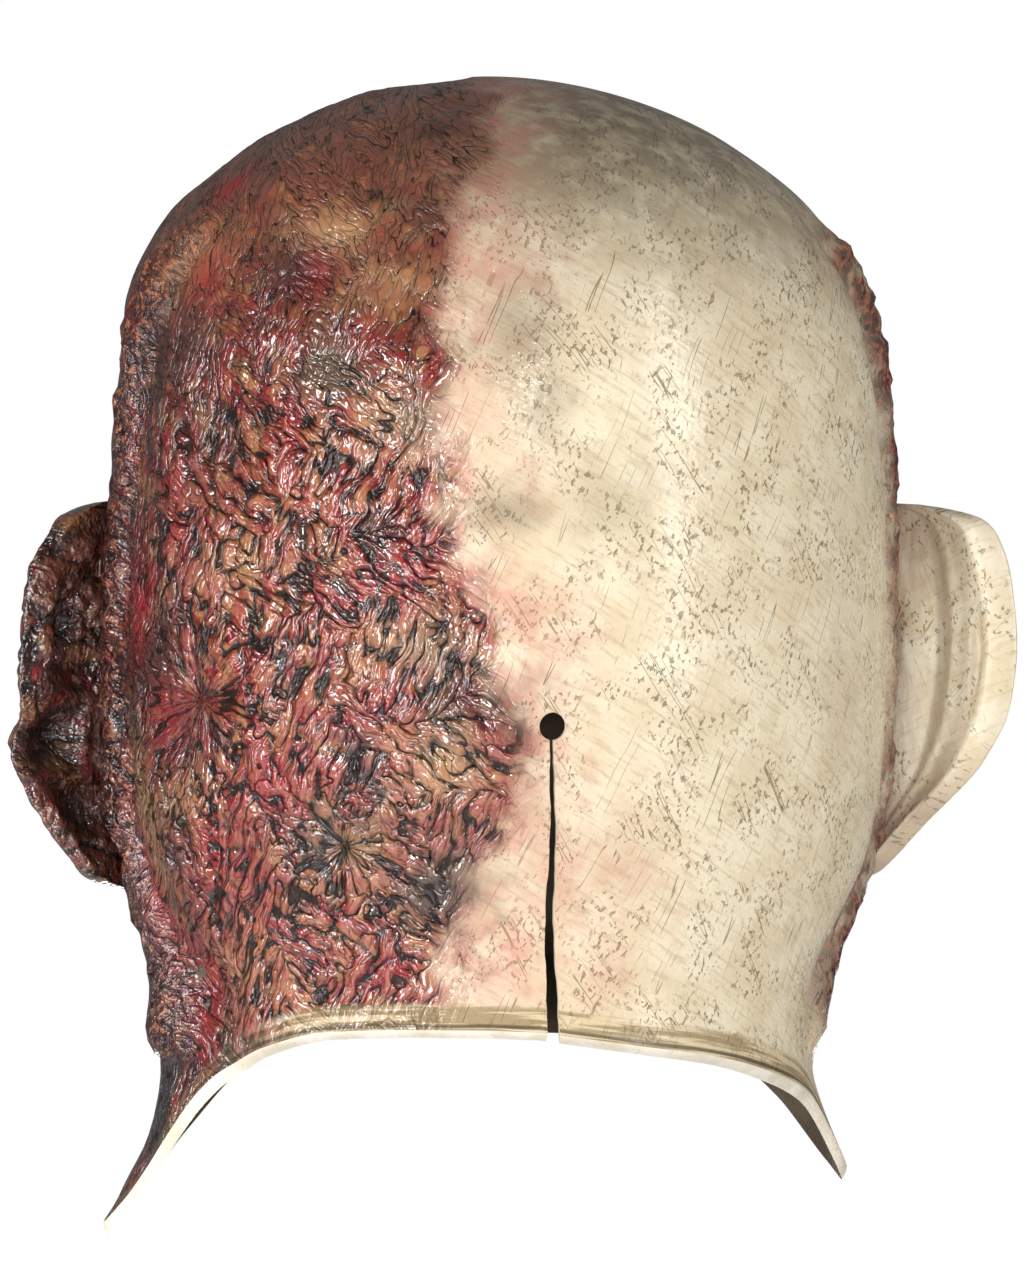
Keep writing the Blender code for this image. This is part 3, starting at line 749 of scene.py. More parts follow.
def slit_mesh():
    """The cut down the back, a wavy sliver that widens and drifts as it goes down."""
    mesh = bpy.data.meshes.new("slit_cutter")
    shape = bmesh.new()
    bmesh.ops.create_cube(shape, size=1.0)
    for step in range(1, 40):
        bmesh.ops.bisect_plane(
            shape,
            geom=shape.verts[:] + shape.edges[:] + shape.faces[:],
            plane_co=(0, 0, -0.5 + step / 40),
            plane_no=(0, 0, 1),
        )
    shape.to_mesh(mesh)
    shape.free()
    points = coordinates(mesh)
    down = 0.5 - points[:, 2]
    length = NAPE_DROP + 0.012 - KEYHOLE_DROP
    cut_share = down * length / (NAPE_DROP - KEYHOLE_DROP)
    width = SLIT_TOP_WIDTH + (SLIT_EDGE_WIDTH - SLIT_TOP_WIDTH) * cut_share**1.15
    waves = 0.00030 * np.sin(down * 13 + 0.6) + 0.00012 * np.sin(down * 41 + np.sign(points[:, 0]))
    ragged = 0.00006 * np.sin(down * 97 + 2.2 * np.sign(points[:, 0]))
    middle = -SLIT_DRIFT * cut_share + waves + ragged
    x = middle + np.sign(points[:, 0]) * width / 2
    y = back_at(0.2) + centre_at(0.2) + points[:, 1] * 0.090
    z = CROWN_TOP - KEYHOLE_DROP - down * length
    set_coordinates(mesh, np.stack([x, y, z], axis=-1))
    return mesh


def join_meshes(name, meshes):
    """One mesh from several, all in the same frame."""
    shape = bmesh.new()
    for mesh in meshes:
        shape.from_mesh(mesh)
    joined = bpy.data.meshes.new(name)
    shape.to_mesh(joined)
    shape.free()
    return joined


def cut_away(piece, meshes):
    """Takes the cutters out of the piece, and gives the cut faces the bare latex."""
    for mesh in meshes:
        for material in piece.data.materials:
            mesh.materials.append(material)
        for face in mesh.polygons:
            face.material_index = 1
        cutter = bpy.data.objects.new(mesh.name, mesh)
        bpy.context.scene.collection.objects.link(cutter)
        modifier = piece.modifiers.new("cut", "BOOLEAN")
        modifier.operation = "DIFFERENCE"
        modifier.solver = "EXACT"
        modifier.object = cutter
        bpy.context.view_layer.update()
        seen = piece.evaluated_get(bpy.context.evaluated_depsgraph_get())
        piece.data = bpy.data.meshes.new_from_object(seen)
        piece.modifiers.clear()
        bpy.data.objects.remove(cutter)


def openings():
    """Cutters for the eyes, nostrils, mouth, nose seat and keyhole, then one for the slit."""
    reach = 0.080
    cutters = []
    for side in (-1, 1):
        eye_y = face_y(EYE_SPACING / 2, EYE_DROP)
        eye = Vector((side * EYE_SPACING / 2, eye_y, CROWN_TOP - EYE_DROP))
        cutters.append(cylinder(EYE_WIDTH, EYE_HEIGHT, 0.040, eye))
        nostril_drop = NOSE_DROP + NOSE_RADIUS + NOSTRIL_BELOW_NOSE
        nostril_y = face_y(NOSTRIL_SPACING / 2, nostril_drop)
        nostril = Vector((side * NOSTRIL_SPACING / 2, nostril_y, CROWN_TOP - nostril_drop))
        cutters.append(cylinder(2 * NOSTRIL_RADIUS, 2 * NOSTRIL_RADIUS, 0.030, nostril, 20))
    mouth = Vector((0, face_y(0, MOUTH_DROP), CROWN_TOP - MOUTH_DROP))
    cutters.append(cylinder(MOUTH_WIDTH, MOUTH_GAP, 0.030, mouth))
    seat = Vector((0, face_y(0, NOSE_DROP), CROWN_TOP - NOSE_DROP))
    cutters.append(cylinder(2 * NOSE_HOLE_RADIUS, 2 * NOSE_HOLE_RADIUS, 0.030, seat))
    nape_y = float(centre_at(KEYHOLE_DROP) + back_at(KEYHOLE_DROP))
    keyhole = Vector((0, nape_y, CROWN_TOP - KEYHOLE_DROP))
    cutters.append(cylinder(2 * KEYHOLE_RADIUS, 2.05 * KEYHOLE_RADIUS, reach, keyhole, 44))
    return [join_meshes("openings_cutter", cutters), slit_mesh()]


def give_paint(mesh, paint, source_points):
    """Stores the paint masks on the mesh. Each point takes the values of the nearest source."""
    tree = KDTree(len(source_points))
    for index, point in enumerate(source_points.tolist()):
        tree.insert(point, index)
    tree.balance()
    nearest = np.array([tree.find(point)[1] for point in coordinates(mesh).tolist()])
    for name, values in paint.items():
        attribute = mesh.attributes.new(name, "FLOAT", "POINT")
        attribute.data.foreach_set("value", values[nearest].astype(np.float32))


def shade_smooth(mesh, sharp_degrees=None):
    mesh.polygons.foreach_set("use_smooth", [True] * len(mesh.polygons))
    if sharp_degrees is not None:
        mesh.set_sharp_from_angle(angle=math.radians(sharp_degrees))
    mesh.update()


def new_piece(name, mesh):
    piece = bpy.data.objects.new(name, mesh)
    bpy.context.scene.collection.objects.link(piece)
    return piece


# Lumps, hollows and grooves of the ears, as seen from behind: places are shares of the flap
EarForm = namedtuple("EarForm", "out down wide tall rise")
RIGHT_EAR_FORMS = (
    EarForm(0.26, 0.42, 0.20, 0.26, 0.0034),
    EarForm(0.50, 0.42, 0.05, 0.30, -0.0010),
    EarForm(0.58, 0.40, 0.06, 0.34, 0.0010),
    EarForm(0.78, 0.40, 0.045, 0.11, -0.0020),
    EarForm(0.70, 0.72, 0.16, 0.10, -0.0012),
    EarForm(0.92, 0.40, 0.09, 0.40, 0.0016),
    EarForm(0.10, 0.48, 0.04, 0.07, -0.0018),
)
LEFT_EAR_FORMS = (
    EarForm(0.55, 0.16, 0.30, 0.10, 0.0034),
    EarForm(0.62, 0.32, 0.16, 0.07, -0.0040),
    EarForm(0.80, 0.33, 0.10, 0.16, 0.0030),
    EarForm(0.55, 0.50, 0.34, 0.045, 0.0034),
    EarForm(0.62, 0.61, 0.24, 0.055, -0.0056),
    EarForm(0.28, 0.62, 0.08, 0.09, 0.0026),
    EarForm(0.55, 0.70, 0.30, 0.018, 0.0026),
    EarForm(0.45, 0.80, 0.22, 0.07, -0.0030),
    EarForm(0.86, 0.84, 0.10, 0.10, 0.0024),
)
EAR_COLUMNS = 168
EAR_MESH_ROWS = 150


def ear_skin(name, side):
    """One ear as a closed skin with a rounded rim. The left one is melted and crumpled."""
    mesh, column, row = ball_mesh(name, EAR_COLUMNS, EAR_MESH_ROWS)
    around = column / EAR_COLUMNS * math.tau
    down = row / EAR_MESH_ROWS
    out = (1 - np.cos(around)) / 2
    face = np.where(np.sin(around) >= 0, 1.0, -1.0)
    near_end = np.minimum(down, 1 - down)
    closing = np.sqrt(np.clip(1 - (1 - np.minimum(near_end / 0.05, 1)) ** 2, 0, 1))

    drop = EAR_TOP_DROP + EAR_HEIGHT * down
    setback = EAR_TOP_SETBACK + (EAR_LOBE_SETBACK - EAR_TOP_SETBACK) * down
    reach = np.where(setback > 0, back_at(drop), front_at(drop))
    angle = side * np.arccos(np.clip(setback / reach, -1, 1))
    root = skin_point(angle, drop)
    sunk = lip_share(angle, drop, root)[1] * LIP_HEIGHT + scar_relief(angle, drop) - 0.0014
    root[:, 0] += side * sunk

    reach_at = left_reach_at if side > 0 else right_reach_at
    outline = reach_at(down)
    if side > 0:
        place = np.stack([down * 0.1, np.zeros_like(down), np.zeros_like(down)], axis=-1)
        outline = outline * (1 + 0.05 * field(place, 0.010, 61) + 0.03 * field(place, 0.004, 62))
    length = EAR_REACH * outline * closing
    turn = EAR_RIM_ANGLE - EAR_ROOT_ANGLE
    bent = EAR_ROOT_ANGLE + turn * out
    sideways = length * (np.sin(bent) - math.sin(EAR_ROOT_ANGLE)) / turn
    backwards = length * (math.cos(EAR_ROOT_ANGLE) - np.cos(bent)) / turn
    flap = root + np.stack([side * sideways, backwards, np.zeros_like(down)], axis=-1)
    normal = np.stack([-side * np.sin(bent), np.cos(bent), np.zeros_like(down)], axis=-1)

    relief = np.zeros(len(down))
    for form in RIGHT_EAR_FORMS if side < 0 else LEFT_EAR_FORMS:
        across = (out - form.out) / form.wide
        along = (down - form.down) / form.tall
        relief += form.rise * np.exp(-across * across - along * along)
    relief *= closing
    half = EAR_THICKNESS / 2 * (1 + 0.9 * np.exp(-out / 0.12))
    rounding = np.sqrt(np.clip(np.sin(around) ** 2 * 3.2, 0, 1)) * closing
    if side < 0:
        roll = 0.0042 * smooth_step(0.80, 1.0, out) * closing
        relief = relief - roll
        detail = 0.00035 * field(flap, 0.012, 63) + 0.00012 * field(flap, 0.003, 64)
        crease = np.zeros(len(down))
    else:
        creased = warp(flap + normal * (face * 0.02)[:, None], 0.008, 0.0040, 65)
        broad = fold(creased, 0.0085, 68)
        fine = fold(creased, 0.0042, 69)
        lumps = 0.0018 * field(flap, 0.014, 70)
        detail = lumps + 0.0015 * (broad - 0.7) + 0.0007 * (fine - 0.7)
        crease = np.clip(1 - 0.62 * broad - 0.38 * fine, 0, 1)
    offset = relief + face * (half * rounding) + face * detail * rounding
    set_coordinates(mesh, flap + normal * offset[:, None])
    paint = {
        "out": out * closing,
        "down": down,
        "crease": crease,
        "back": face * rounding,
        "hollow": np.clip(-relief * face / 0.003, 0, 1),
        "root": np.exp(-out * outline / 0.16),
        "skin_x": out * length + 0.2 * (face < 0),
        "folds": np.full(len(down), 0.8),
        "skin_y": drop,
    }
    for key, values in paint.items():
        attribute = mesh.attributes.new(key, "FLOAT", "POINT")
        attribute.data.foreach_set("value", values.astype(np.float32))
    if side < 0:
        mesh.flip_normals()
    shade_smooth(mesh)
    return mesh


def ball_nose():
    """The red nose: a hollow ball, open behind where it sits on the face."""
    mesh = bpy.data.meshes.new("ball_nose")
    shape = bmesh.new()
    bmesh.ops.create_uvsphere(shape, u_segments=96, v_segments=64, radius=NOSE_RADIUS)
    bmesh.ops.rotate(shape, cent=(0, 0, 0), matrix=Matrix.Rotation(math.pi / 2, 3, "X"),
                     verts=shape.verts)
    rear = [vert for vert in shape.verts if vert.co.y > NOSE_BACK]
    bmesh.ops.delete(shape, geom=rear, context="VERTS")
    bmesh.ops.solidify(shape, geom=shape.faces[:], thickness=WALL)
    centre = Vector((0, face_y(0, NOSE_DROP) - NOSE_STAND_OFF, CROWN_TOP - NOSE_DROP))
    bmesh.ops.translate(shape, vec=centre, verts=shape.verts)
    shape.to_mesh(mesh)
    shape.free()
    shade_smooth(mesh, 50)
    return mesh


class Painter:
    """Builds one material: each method adds a node and returns its output."""

    def __init__(self, name):
        self.material = bpy.data.materials.new(name)
        self.material.use_nodes = True
        self.tree = self.material.node_tree
        self.tree.nodes.clear()
        self.place = self.add("ShaderNodeTexCoord").outputs["Object"]

    def add(self, kind, inputs=None, **settings):
        node = self.tree.nodes.new(kind)
        for key, value in settings.items():
            setattr(node, key, value)
        for key, value in (inputs or {}).items():
            self.feed(node.inputs[key], value)
        return node

    def feed(self, socket, value):
        if isinstance(value, bpy.types.NodeSocket):
            self.tree.links.new(value, socket)
        elif isinstance(value, tuple) and len(value) == 3 and socket.type == "RGBA":
            socket.default_value = (*value, 1.0)
        else:
            socket.default_value = value

    def mask(self, name):
        return self.add("ShaderNodeAttribute", attribute_name=name).outputs["Fac"]

    def calc(self, operation, first, second=0.0, third=0.0, clamp=False):
        inputs = {0: first, 1: second, 2: third}
        return self.add("ShaderNodeMath", inputs, operation=operation, use_clamp=clamp).outputs[0]

    def step(self, value, low, high, to_low=0.0, to_high=1.0, soft=True):
        """Runs from to_low to to_high as the value goes from low to high."""
        kind = "SMOOTHSTEP" if soft else "LINEAR"
        inputs = {0: value, 1: low, 2: high, 3: to_low, 4: to_high}
        node = self.add("ShaderNodeMapRange", inputs, interpolation_type=kind, clamp=True)
        return node.outputs[0]

    def mix(self, amount, under, over, blend="MIX"):
        node = self.add("ShaderNodeMix", data_type="RGBA", blend_type=blend)
        node.clamp_factor = True
        self.feed(node.inputs[0], amount)
        self.feed(node.inputs[6], under)
        self.feed(node.inputs[7], over)
        return node.outputs[2]

    def grain(self, size, where=None, detail=2.0, rough=0.5, offset=0.0):
        """Noise with features about this size in metres, from 0 to 1. It is flat on a laid-out
        place, and solid where no place is given."""
        flat = where is not None
        where = self.place if where is None else where
        if offset:
            moved = {0: where, 1: (offset, offset * 0.7, -offset)}
            where = self.add("ShaderNodeVectorMath", moved, operation="ADD").outputs[0]
        inputs = {"Vector": where, "Scale": 1 / size, "Detail": detail, "Roughness": rough}
        kind = "2D" if flat else "3D"
        return self.add("ShaderNodeTexNoise", inputs, noise_dimensions=kind).outputs["Fac"]

    def turned(self, where, degrees, stretch):
        """The laid-out place turned, then stretched along the turned axes."""
        turned = {"Vector": where, "Rotation": (0.0, 0.0, math.radians(degrees))}
        node = self.add("ShaderNodeMapping", turned, vector_type="POINT")
        stretched = {"Vector": node.outputs[0], "Scale": (*stretch, 1.0)}
        return self.add("ShaderNodeMapping", stretched, vector_type="POINT").outputs[0]

    def pushed(self, where, size, amount):
        """The laid-out place pushed about by noise."""
        inputs = {"Vector": where, "Scale": 1 / size, "Detail": 1.0}
        push = self.add("ShaderNodeTexNoise", inputs, noise_dimensions="2D").outputs["Color"]
        centred = self.add("ShaderNodeVectorMath", {0: push, 1: (0.5, 0.5, 0.5)},
                           operation="SUBTRACT").outputs[0]
        scaled = self.add("ShaderNodeVectorMath", {0: centred, "Scale": amount},
                          operation="SCALE").outputs[0]
        return self.add("ShaderNodeVectorMath", {0: where, 1: scaled}, operation="ADD").outputs[0]

    def crease(self, noise_value, width):
        """0 along the lines where the noise crosses its middle, 1 away from them."""
        off = self.calc("ABSOLUTE", self.calc("SUBTRACT", noise_value, 0.5))
        return self.step(off, 0.0, width, soft=False)

    def bump(self, height, distance, normal=None, strength=1.0):
        inputs = {"Height": height, "Distance": distance, "Strength": strength}
        if normal is not None:
            inputs["Normal"] = normal
        return self.add("ShaderNodeBump", inputs).outputs["Normal"]

    def finish(self, color, roughness, normal, more):
        inputs = {"Base Color": color, "Roughness": roughness, "Normal": normal, **more}
        inputs["Coat Normal"] = normal
        shader = self.add("ShaderNodeBsdfPrincipled", inputs)
        output = self.add("ShaderNodeOutputMaterial")
        self.tree.links.new(shader.outputs[0], output.inputs["Surface"])
        return self.material


def laid_place(p, across, along):
    """The place on the skin laid flat, in metres, from two masks."""
    return p.add("ShaderNodeCombineXYZ", {0: p.mask(across), 1: p.mask(along), 2: 0.0}).outputs[0]


def burned_pattern(p, laid, folds_mask, starred=False):
    """Folds of the burned skin below the size of the mesh. Returns height and crease depth."""
    warped = p.pushed(laid, 0.0090, 0.0042)
    first = p.turned(warped, 22, (1.0, 0.30))
    second = p.turned(warped, -58, (1.0, 0.36))
    way = p.step(p.grain(0.021, laid, 1.5, offset=0.31), 0.48, 0.54)
    strength = p.grain(0.0055, laid, 1.5, offset=0.77)
    if starred:
        rays = [p.mask(name) for name in ("star_x", "star_y", "star_far")]
        star_place = p.add("ShaderNodeCombineXYZ", dict(enumerate(rays))).outputs[0]
        broken = p.calc("MULTIPLY_ADD", strength, 0.9, p.mask("star"))
        star = p.step(broken, 0.80, 0.98)

    def blended(size, detail):
        one, two = p.grain(size, first, detail, 0.5), p.grain(size, second, detail, 0.5)
        value = p.calc("MULTIPLY_ADD", p.calc("SUBTRACT", two, one), way, one)
        if not starred:
            return value
        inputs = {"Vector": star_place, "Scale": 1 / size, "Detail": detail}
        radial = p.add("ShaderNodeTexNoise", inputs).outputs["Fac"]
        return p.calc("MULTIPLY_ADD", p.calc("SUBTRACT", radial, value), star, value)

    folds = p.calc("MULTIPLY_ADD", p.mask(folds_mask), 0.70, 0.30)
    broad = p.crease(blended(0.0050, 1.5), 0.150)
    fine = p.crease(blended(0.0021, 1.0), 0.14)
    height = p.calc("MULTIPLY", p.calc("POWER", broad, 0.75), folds)
    height = p.calc("MULTIPLY_ADD", fine, 0.28, height)
    reach = p.calc("MULTIPLY", p.step(strength, 0.36, 0.64, 0.05, 0.46), folds)
    deep_lines = p.calc("SUBTRACT", 1.0, p.calc("DIVIDE", broad, reach), clamp=True)
    fine_lines = p.calc("MULTIPLY", p.step(fine, 0.26, 0.0), p.step(strength, 0.36, 0.62, 1.0, 0.45))
    return height, p.calc("MAXIMUM", p.step(deep_lines, 0.0, 0.60), fine_lines)


def pale_marks(p, laid):
    """Olive specks, dashes and scratches of the pale skin, and the grain of its surface."""
    where = p.grain(0.016, laid, 2.0, 0.65, offset=0.2)
    specks = p.step(p.grain(0.0013, p.turned(laid, 24, (1.0, 0.62)), 2.0, 0.70), 0.585, 0.67)
    specks = p.calc("MULTIPLY", specks, p.step(where, 0.42, 0.60, 0.10, 1.0))
    bent = p.pushed(laid, 0.030, 0.004)
    one = p.grain(0.0042, p.turned(bent, -34, (1.0, 0.040)), 1.0, offset=0.11)
    two = p.grain(0.0046, p.turned(bent, 24, (1.0, 0.045)), 1.0, offset=0.37)
    one = p.calc("MULTIPLY", p.step(p.crease(one, 0.007), 1.0, 0.0), p.step(where, 0.52, 0.62))
    two = p.calc("MULTIPLY", p.step(p.crease(two, 0.007), 1.0, 0.0), p.step(where, 0.43, 0.34))
    scratches = p.calc("MAXIMUM", one, two)
    brushed = p.grain(0.0013, p.turned(laid, -60, (1.0, 0.14)), 2.0, 0.6)
    return specks, scratches, brushed


def skin_material(name, burned):
    """Hand-painted latex: pale worn skin, with glossy burned tissue over it where burned."""
    p = Painter(name)
    laid = laid_place(p, "skin_x", "skin_y")
    burn, side, crown = p.mask("burn"), p.mask("side"), p.mask("crown")
    large = p.grain(0.017, None, 2.0, 0.6)
    medium = p.grain(0.0075, None, 2.0, 0.62)
    small = p.grain(0.0024, laid, 2.0, 0.6)

    specks, scratches, brushed = pale_marks(p, laid)
    cream = p.mix(p.step(large, 0.36, 0.62), (0.64, 0.535, 0.365), (0.71, 0.62, 0.455))
    cream = p.mix(p.step(brushed, 0.48, 0.74, 0.0, 0.45), cream, (0.42, 0.33, 0.19))
    cream = p.mix(p.calc("MULTIPLY", specks, 0.80), cream, (0.20, 0.145, 0.065))
    cream = p.mix(p.calc("MULTIPLY", scratches, 0.80), cream, (0.17, 0.12, 0.05))
    # The pale skin is painted darker grey-brown towards the top of the crown.
    crown_darkening = p.calc("MULTIPLY", crown, p.step(medium, 0.32, 0.62, 0.60, 1.0))
    cream = p.mix(crown_darkening, cream, (0.180, 0.140, 0.092))
    cream = p.mix(p.calc("MULTIPLY", p.mask("face"), 0.75), cream, (0.80, 0.77, 0.70))
    blush = p.calc("MULTIPLY", p.mask("blush"), p.step(medium, 0.34, 0.60, 0.40, 1.0))
    flesh = p.mix(p.calc("MULTIPLY", blush, 0.85), cream, (0.52, 0.215, 0.165))

    color = flesh
    if burned:
        height, lines = burned_pattern(p, laid, "folds", starred=True)
        tissue = p.mix(p.step(large, 0.40, 0.60), (0.165, 0.010, 0.009), (0.200, 0.046, 0.020))
        tissue = p.mix(p.step(medium, 0.49, 0.56), tissue, (0.200, 0.003, 0.010))
        tissue = p.mix(p.step(medium, 0.45, 0.38), tissue, (0.310, 0.125, 0.050))
        tissue = p.mix(p.step(small, 0.50, 0.60, 0.0, 0.55), tissue, (0.330, 0.090, 0.032))
        tissue = p.mix(p.step(large, 0.40, 0.30, 0.0, 0.80), tissue, (0.026, 0.011, 0.009))
        # The low places of the burned folds are painted near-black: partly a dark wash, partly painted shade in the
        # hollows between the folds.
        tissue = p.mix(p.step(height, 0.70, 0.25, 0.0, 0.60), tissue, (0.030, 0.007, 0.005))
        streaks = p.grain(0.0050, p.turned(laid, 3, (1.0, 0.16)), 3.0, 0.6)
        gray_side = p.calc("MULTIPLY", side, p.step(streaks, 0.38, 0.54, 0.35, 1.0))
        tissue = p.mix(gray_side, tissue, (0.020, 0.014, 0.014))
        tissue = p.mix(p.calc("MULTIPLY", crown, p.step(medium, 0.3, 0.6, 0.25, 0.80)), tissue, (0.170, 0.075, 0.048))
        tissue = p.mix(p.calc("MULTIPLY", p.mask("tan"), 0.8), tissue, (0.40, 0.23, 0.105))
        tissue = p.mix(p.calc("MULTIPLY", p.mask("blood"), 0.9), tissue, (0.24, 0.003, 0.010))
        lit_top = p.calc("MULTIPLY", p.step(height, 0.75, 1.25, 0.0, 0.26), p.mask("folds"))
        tissue = p.mix(lit_top, tissue, (0.52, 0.20, 0.14))
        color = p.mix(burn, flesh, tissue)
    torn_tone = p.mix(p.step(small, 0.42, 0.60), (0.045, 0.009, 0.012), (0.17, 0.034, 0.024))
    torn = p.calc("MULTIPLY", p.mask("torn"), p.step(medium, 0.30, 0.52, 0.5, 1.0))
    color = p.mix(torn, color, torn_tone)
    ragged_tan = p.calc("MULTIPLY", p.mask("ridge"), p.step(small, 0.54, 0.64, 0.0, 0.6))
    color = p.mix(ragged_tan, color, (0.42, 0.17, 0.075))
    color = p.mix(p.calc("MULTIPLY", p.mask("olive"), 0.75), color, (0.17, 0.145, 0.085))
    color = p.mix(p.calc("MULTIPLY", p.mask("dark"), 0.85), color, (0.030, 0.017, 0.014))
    if burned:
        # The crease lines of the burned folds are painted near-black: partly a dark wash, partly painted shade in the
        # creases.
        line_wash_and_shade = p.calc("MULTIPLY", lines, p.calc("MULTIPLY", p.mask("swell"), 0.95))
        color = p.mix(line_wash_and_shade, color, (0.010, 0.004, 0.003))
    # The creases of the shaped folds are painted near-black: partly a dark wash, partly painted shade in the creases.
    color = p.mix(p.step(p.mask("crease"), 0.30, 0.62, 0.0, 0.9), color, (0.010, 0.005, 0.004))
    color = p.mix(p.mask("socket"), color, (0.035, 0.033, 0.038))
    color = p.mix(p.mask("brow"), color, (0.025, 0.022, 0.024))
    color = p.mix(p.mask("lips"), color, (0.42, 0.014, 0.016))
    edge_gap = p.mask("trim")
    edge_place = p.add("ShaderNodeCombineXYZ", {0: p.mask("skin_x"), 1: p.calc("MULTIPLY", edge_gap, 0.001), 2: 0.0}).outputs[0]
    trim_lines = p.grain(0.0016, p.turned(edge_place, 0, (0.05, 1.0)), 2.0, 0.6)
    band = p.calc("MULTIPLY", p.step(edge_gap, 5.2, 7.2, 1.0, 0.0), p.mask("banded"))
    trim_tone = p.mix(p.step(trim_lines, 0.42, 0.60), (0.26, 0.19, 0.09), (0.60, 0.48, 0.30))
    color = p.mix(p.calc("MULTIPLY", band, 0.85), color, trim_tone)
    rim = p.calc("MULTIPLY", p.step(edge_gap, 0.5, 0.8), p.step(edge_gap, 1.3, 1.9, 0.8, 0.0))
    color = p.mix(rim, color, (0.06, 0.04, 0.022))

    rough = p.step(small, 0.3, 0.7, 0.24, 0.38)
    coat = 0.15
    if burned:
        glossy = p.calc("MULTIPLY", burn, p.calc("SUBTRACT", 1.0, p.mask("matt"), clamp=True))
        burned_rough = p.step(medium, 0.35, 0.65, 0.10, 0.22)
        rough = p.calc("MULTIPLY_ADD", p.calc("SUBTRACT", burned_rough, rough), glossy, rough)
        wet = p.calc("MULTIPLY", glossy, p.step(lines, 0.0, 0.6, 1.0, 0.12))
        coat = p.calc("MULTIPLY_ADD", wet, 0.85, 0.15)

    grit = p.calc("MULTIPLY_ADD", burn, -0.00013, 0.00013)
    relief = p.calc("MULTIPLY", p.calc("MULTIPLY_ADD", brushed, 0.6, small), grit)
    relief = p.calc("MULTIPLY_ADD", p.calc("MAXIMUM", specks, scratches), -0.00022, relief)
    if burned:
        relief = p.calc("MULTIPLY_ADD", p.calc("MULTIPLY", height, p.mask("swell")), 0.00080, relief)
    relief = p.calc("MULTIPLY_ADD", p.calc("MULTIPLY", p.mask("ridge"), small), 0.0016, relief)
    relief = p.calc("MULTIPLY_ADD", p.calc("MULTIPLY", trim_lines, band), 0.0005, relief)
    return p.finish(color, rough, p.bump(relief, 1.0), {"Coat Weight": coat, "Coat Roughness": 0.05, "Coat IOR": 1.7,
                                                        "Specular IOR Level": 0.22})


def bare_latex():
    """The uncoloured latex of the cut edges."""
    p = Painter("bare_latex")
    tone = p.mix(p.step(p.grain(0.012, None, 4.0, 0.6), 0.35, 0.65), (0.60, 0.53, 0.42), (0.74, 0.68, 0.58))
    tone = p.mix(p.step(p.grain(0.0015, None, 2.0), 0.60, 0.72, 0.0, 0.35), tone, (0.34, 0.26, 0.15))
    height = p.grain(0.0022, None, 3.0, 0.6)
    return p.finish(tone, p.step(height, 0.3, 0.7, 0.50, 0.66), p.bump(height, 0.00025),
                    {"Specular IOR Level": 0.4})


def inner_latex():
    """The inside of the casting, plain dark brown: painted shade, which keeps the inside dark where it shows through
    the openings.
    """
    p = Painter("inner_latex")
    tone = p.mix(p.step(p.grain(0.016, None, 4.0, 0.6), 0.35, 0.65), (0.055, 0.038, 0.024), (0.095, 0.068, 0.042))
    height = p.grain(0.0024, None, 3.0, 0.6)
    return p.finish(tone, p.step(height, 0.3, 0.7, 0.55, 0.72), p.bump(height, 0.0003),
                    {"Specular IOR Level": 0.35})


def right_ear_material():
    p = Painter("painted_latex_right_ear")
    laid = laid_place(p, "skin_x", "skin_y")
    specks, scratches, brushed = pale_marks(p, laid)
    out, down = p.mask("out"), p.mask("down")
    medium = p.grain(0.010, None, 3.0)
    tone = p.mix(p.step(medium, 0.38, 0.62), (0.78, 0.66, 0.46), (0.87, 0.78, 0.60))
    upper = p.calc("MULTIPLY", p.step(down, 0.30, 0.0), p.step(out, 0.70, 0.0))
    tone = p.mix(p.calc("MULTIPLY", upper, 0.9), tone, (0.33, 0.165, 0.115))
    lobe = p.calc("MULTIPLY", p.step(down, 0.66, 0.86), p.step(medium, 0.35, 0.6, 0.4, 1.0))
    tone = p.mix(p.calc("MULTIPLY", lobe, 0.65), tone, (0.36, 0.185, 0.135))
    tone = p.mix(p.step(brushed, 0.50, 0.76, 0.0, 0.25), tone, (0.42, 0.31, 0.16))
    tone = p.mix(p.calc("MULTIPLY", specks, 0.7), tone, (0.19, 0.135, 0.06))
    tone = p.mix(p.calc("MULTIPLY", scratches, 0.7), tone, (0.16, 0.11, 0.05))
    # Painted shade: the hollows of the ear are painted darker.
    tone = p.mix(p.calc("MULTIPLY", p.mask("hollow"), 0.3), tone, (0.30, 0.22, 0.11))
    # Painted shade: the root of the ear is painted darker brown where it meets the head.
    tone = p.mix(p.step(out, 0.10, 0.0, 0.0, 0.6), tone, (0.16, 0.09, 0.045))
    relief = p.calc("MULTIPLY", p.calc("MULTIPLY_ADD", brushed, 0.6, specks), 0.00016)
    wrinkles = p.grain(0.0042, p.turned(laid, 8, (1.0, 0.35)), 2.0)
    relief = p.calc("MULTIPLY_ADD", wrinkles, 0.0004, relief)
    rough = p.step(medium, 0.3, 0.7, 0.28, 0.44)
    return p.finish(tone, rough, p.bump(relief, 1.0), {"Coat Weight": 0.15, "Coat Roughness": 0.12,
                                                       "Specular IOR Level": 0.5})


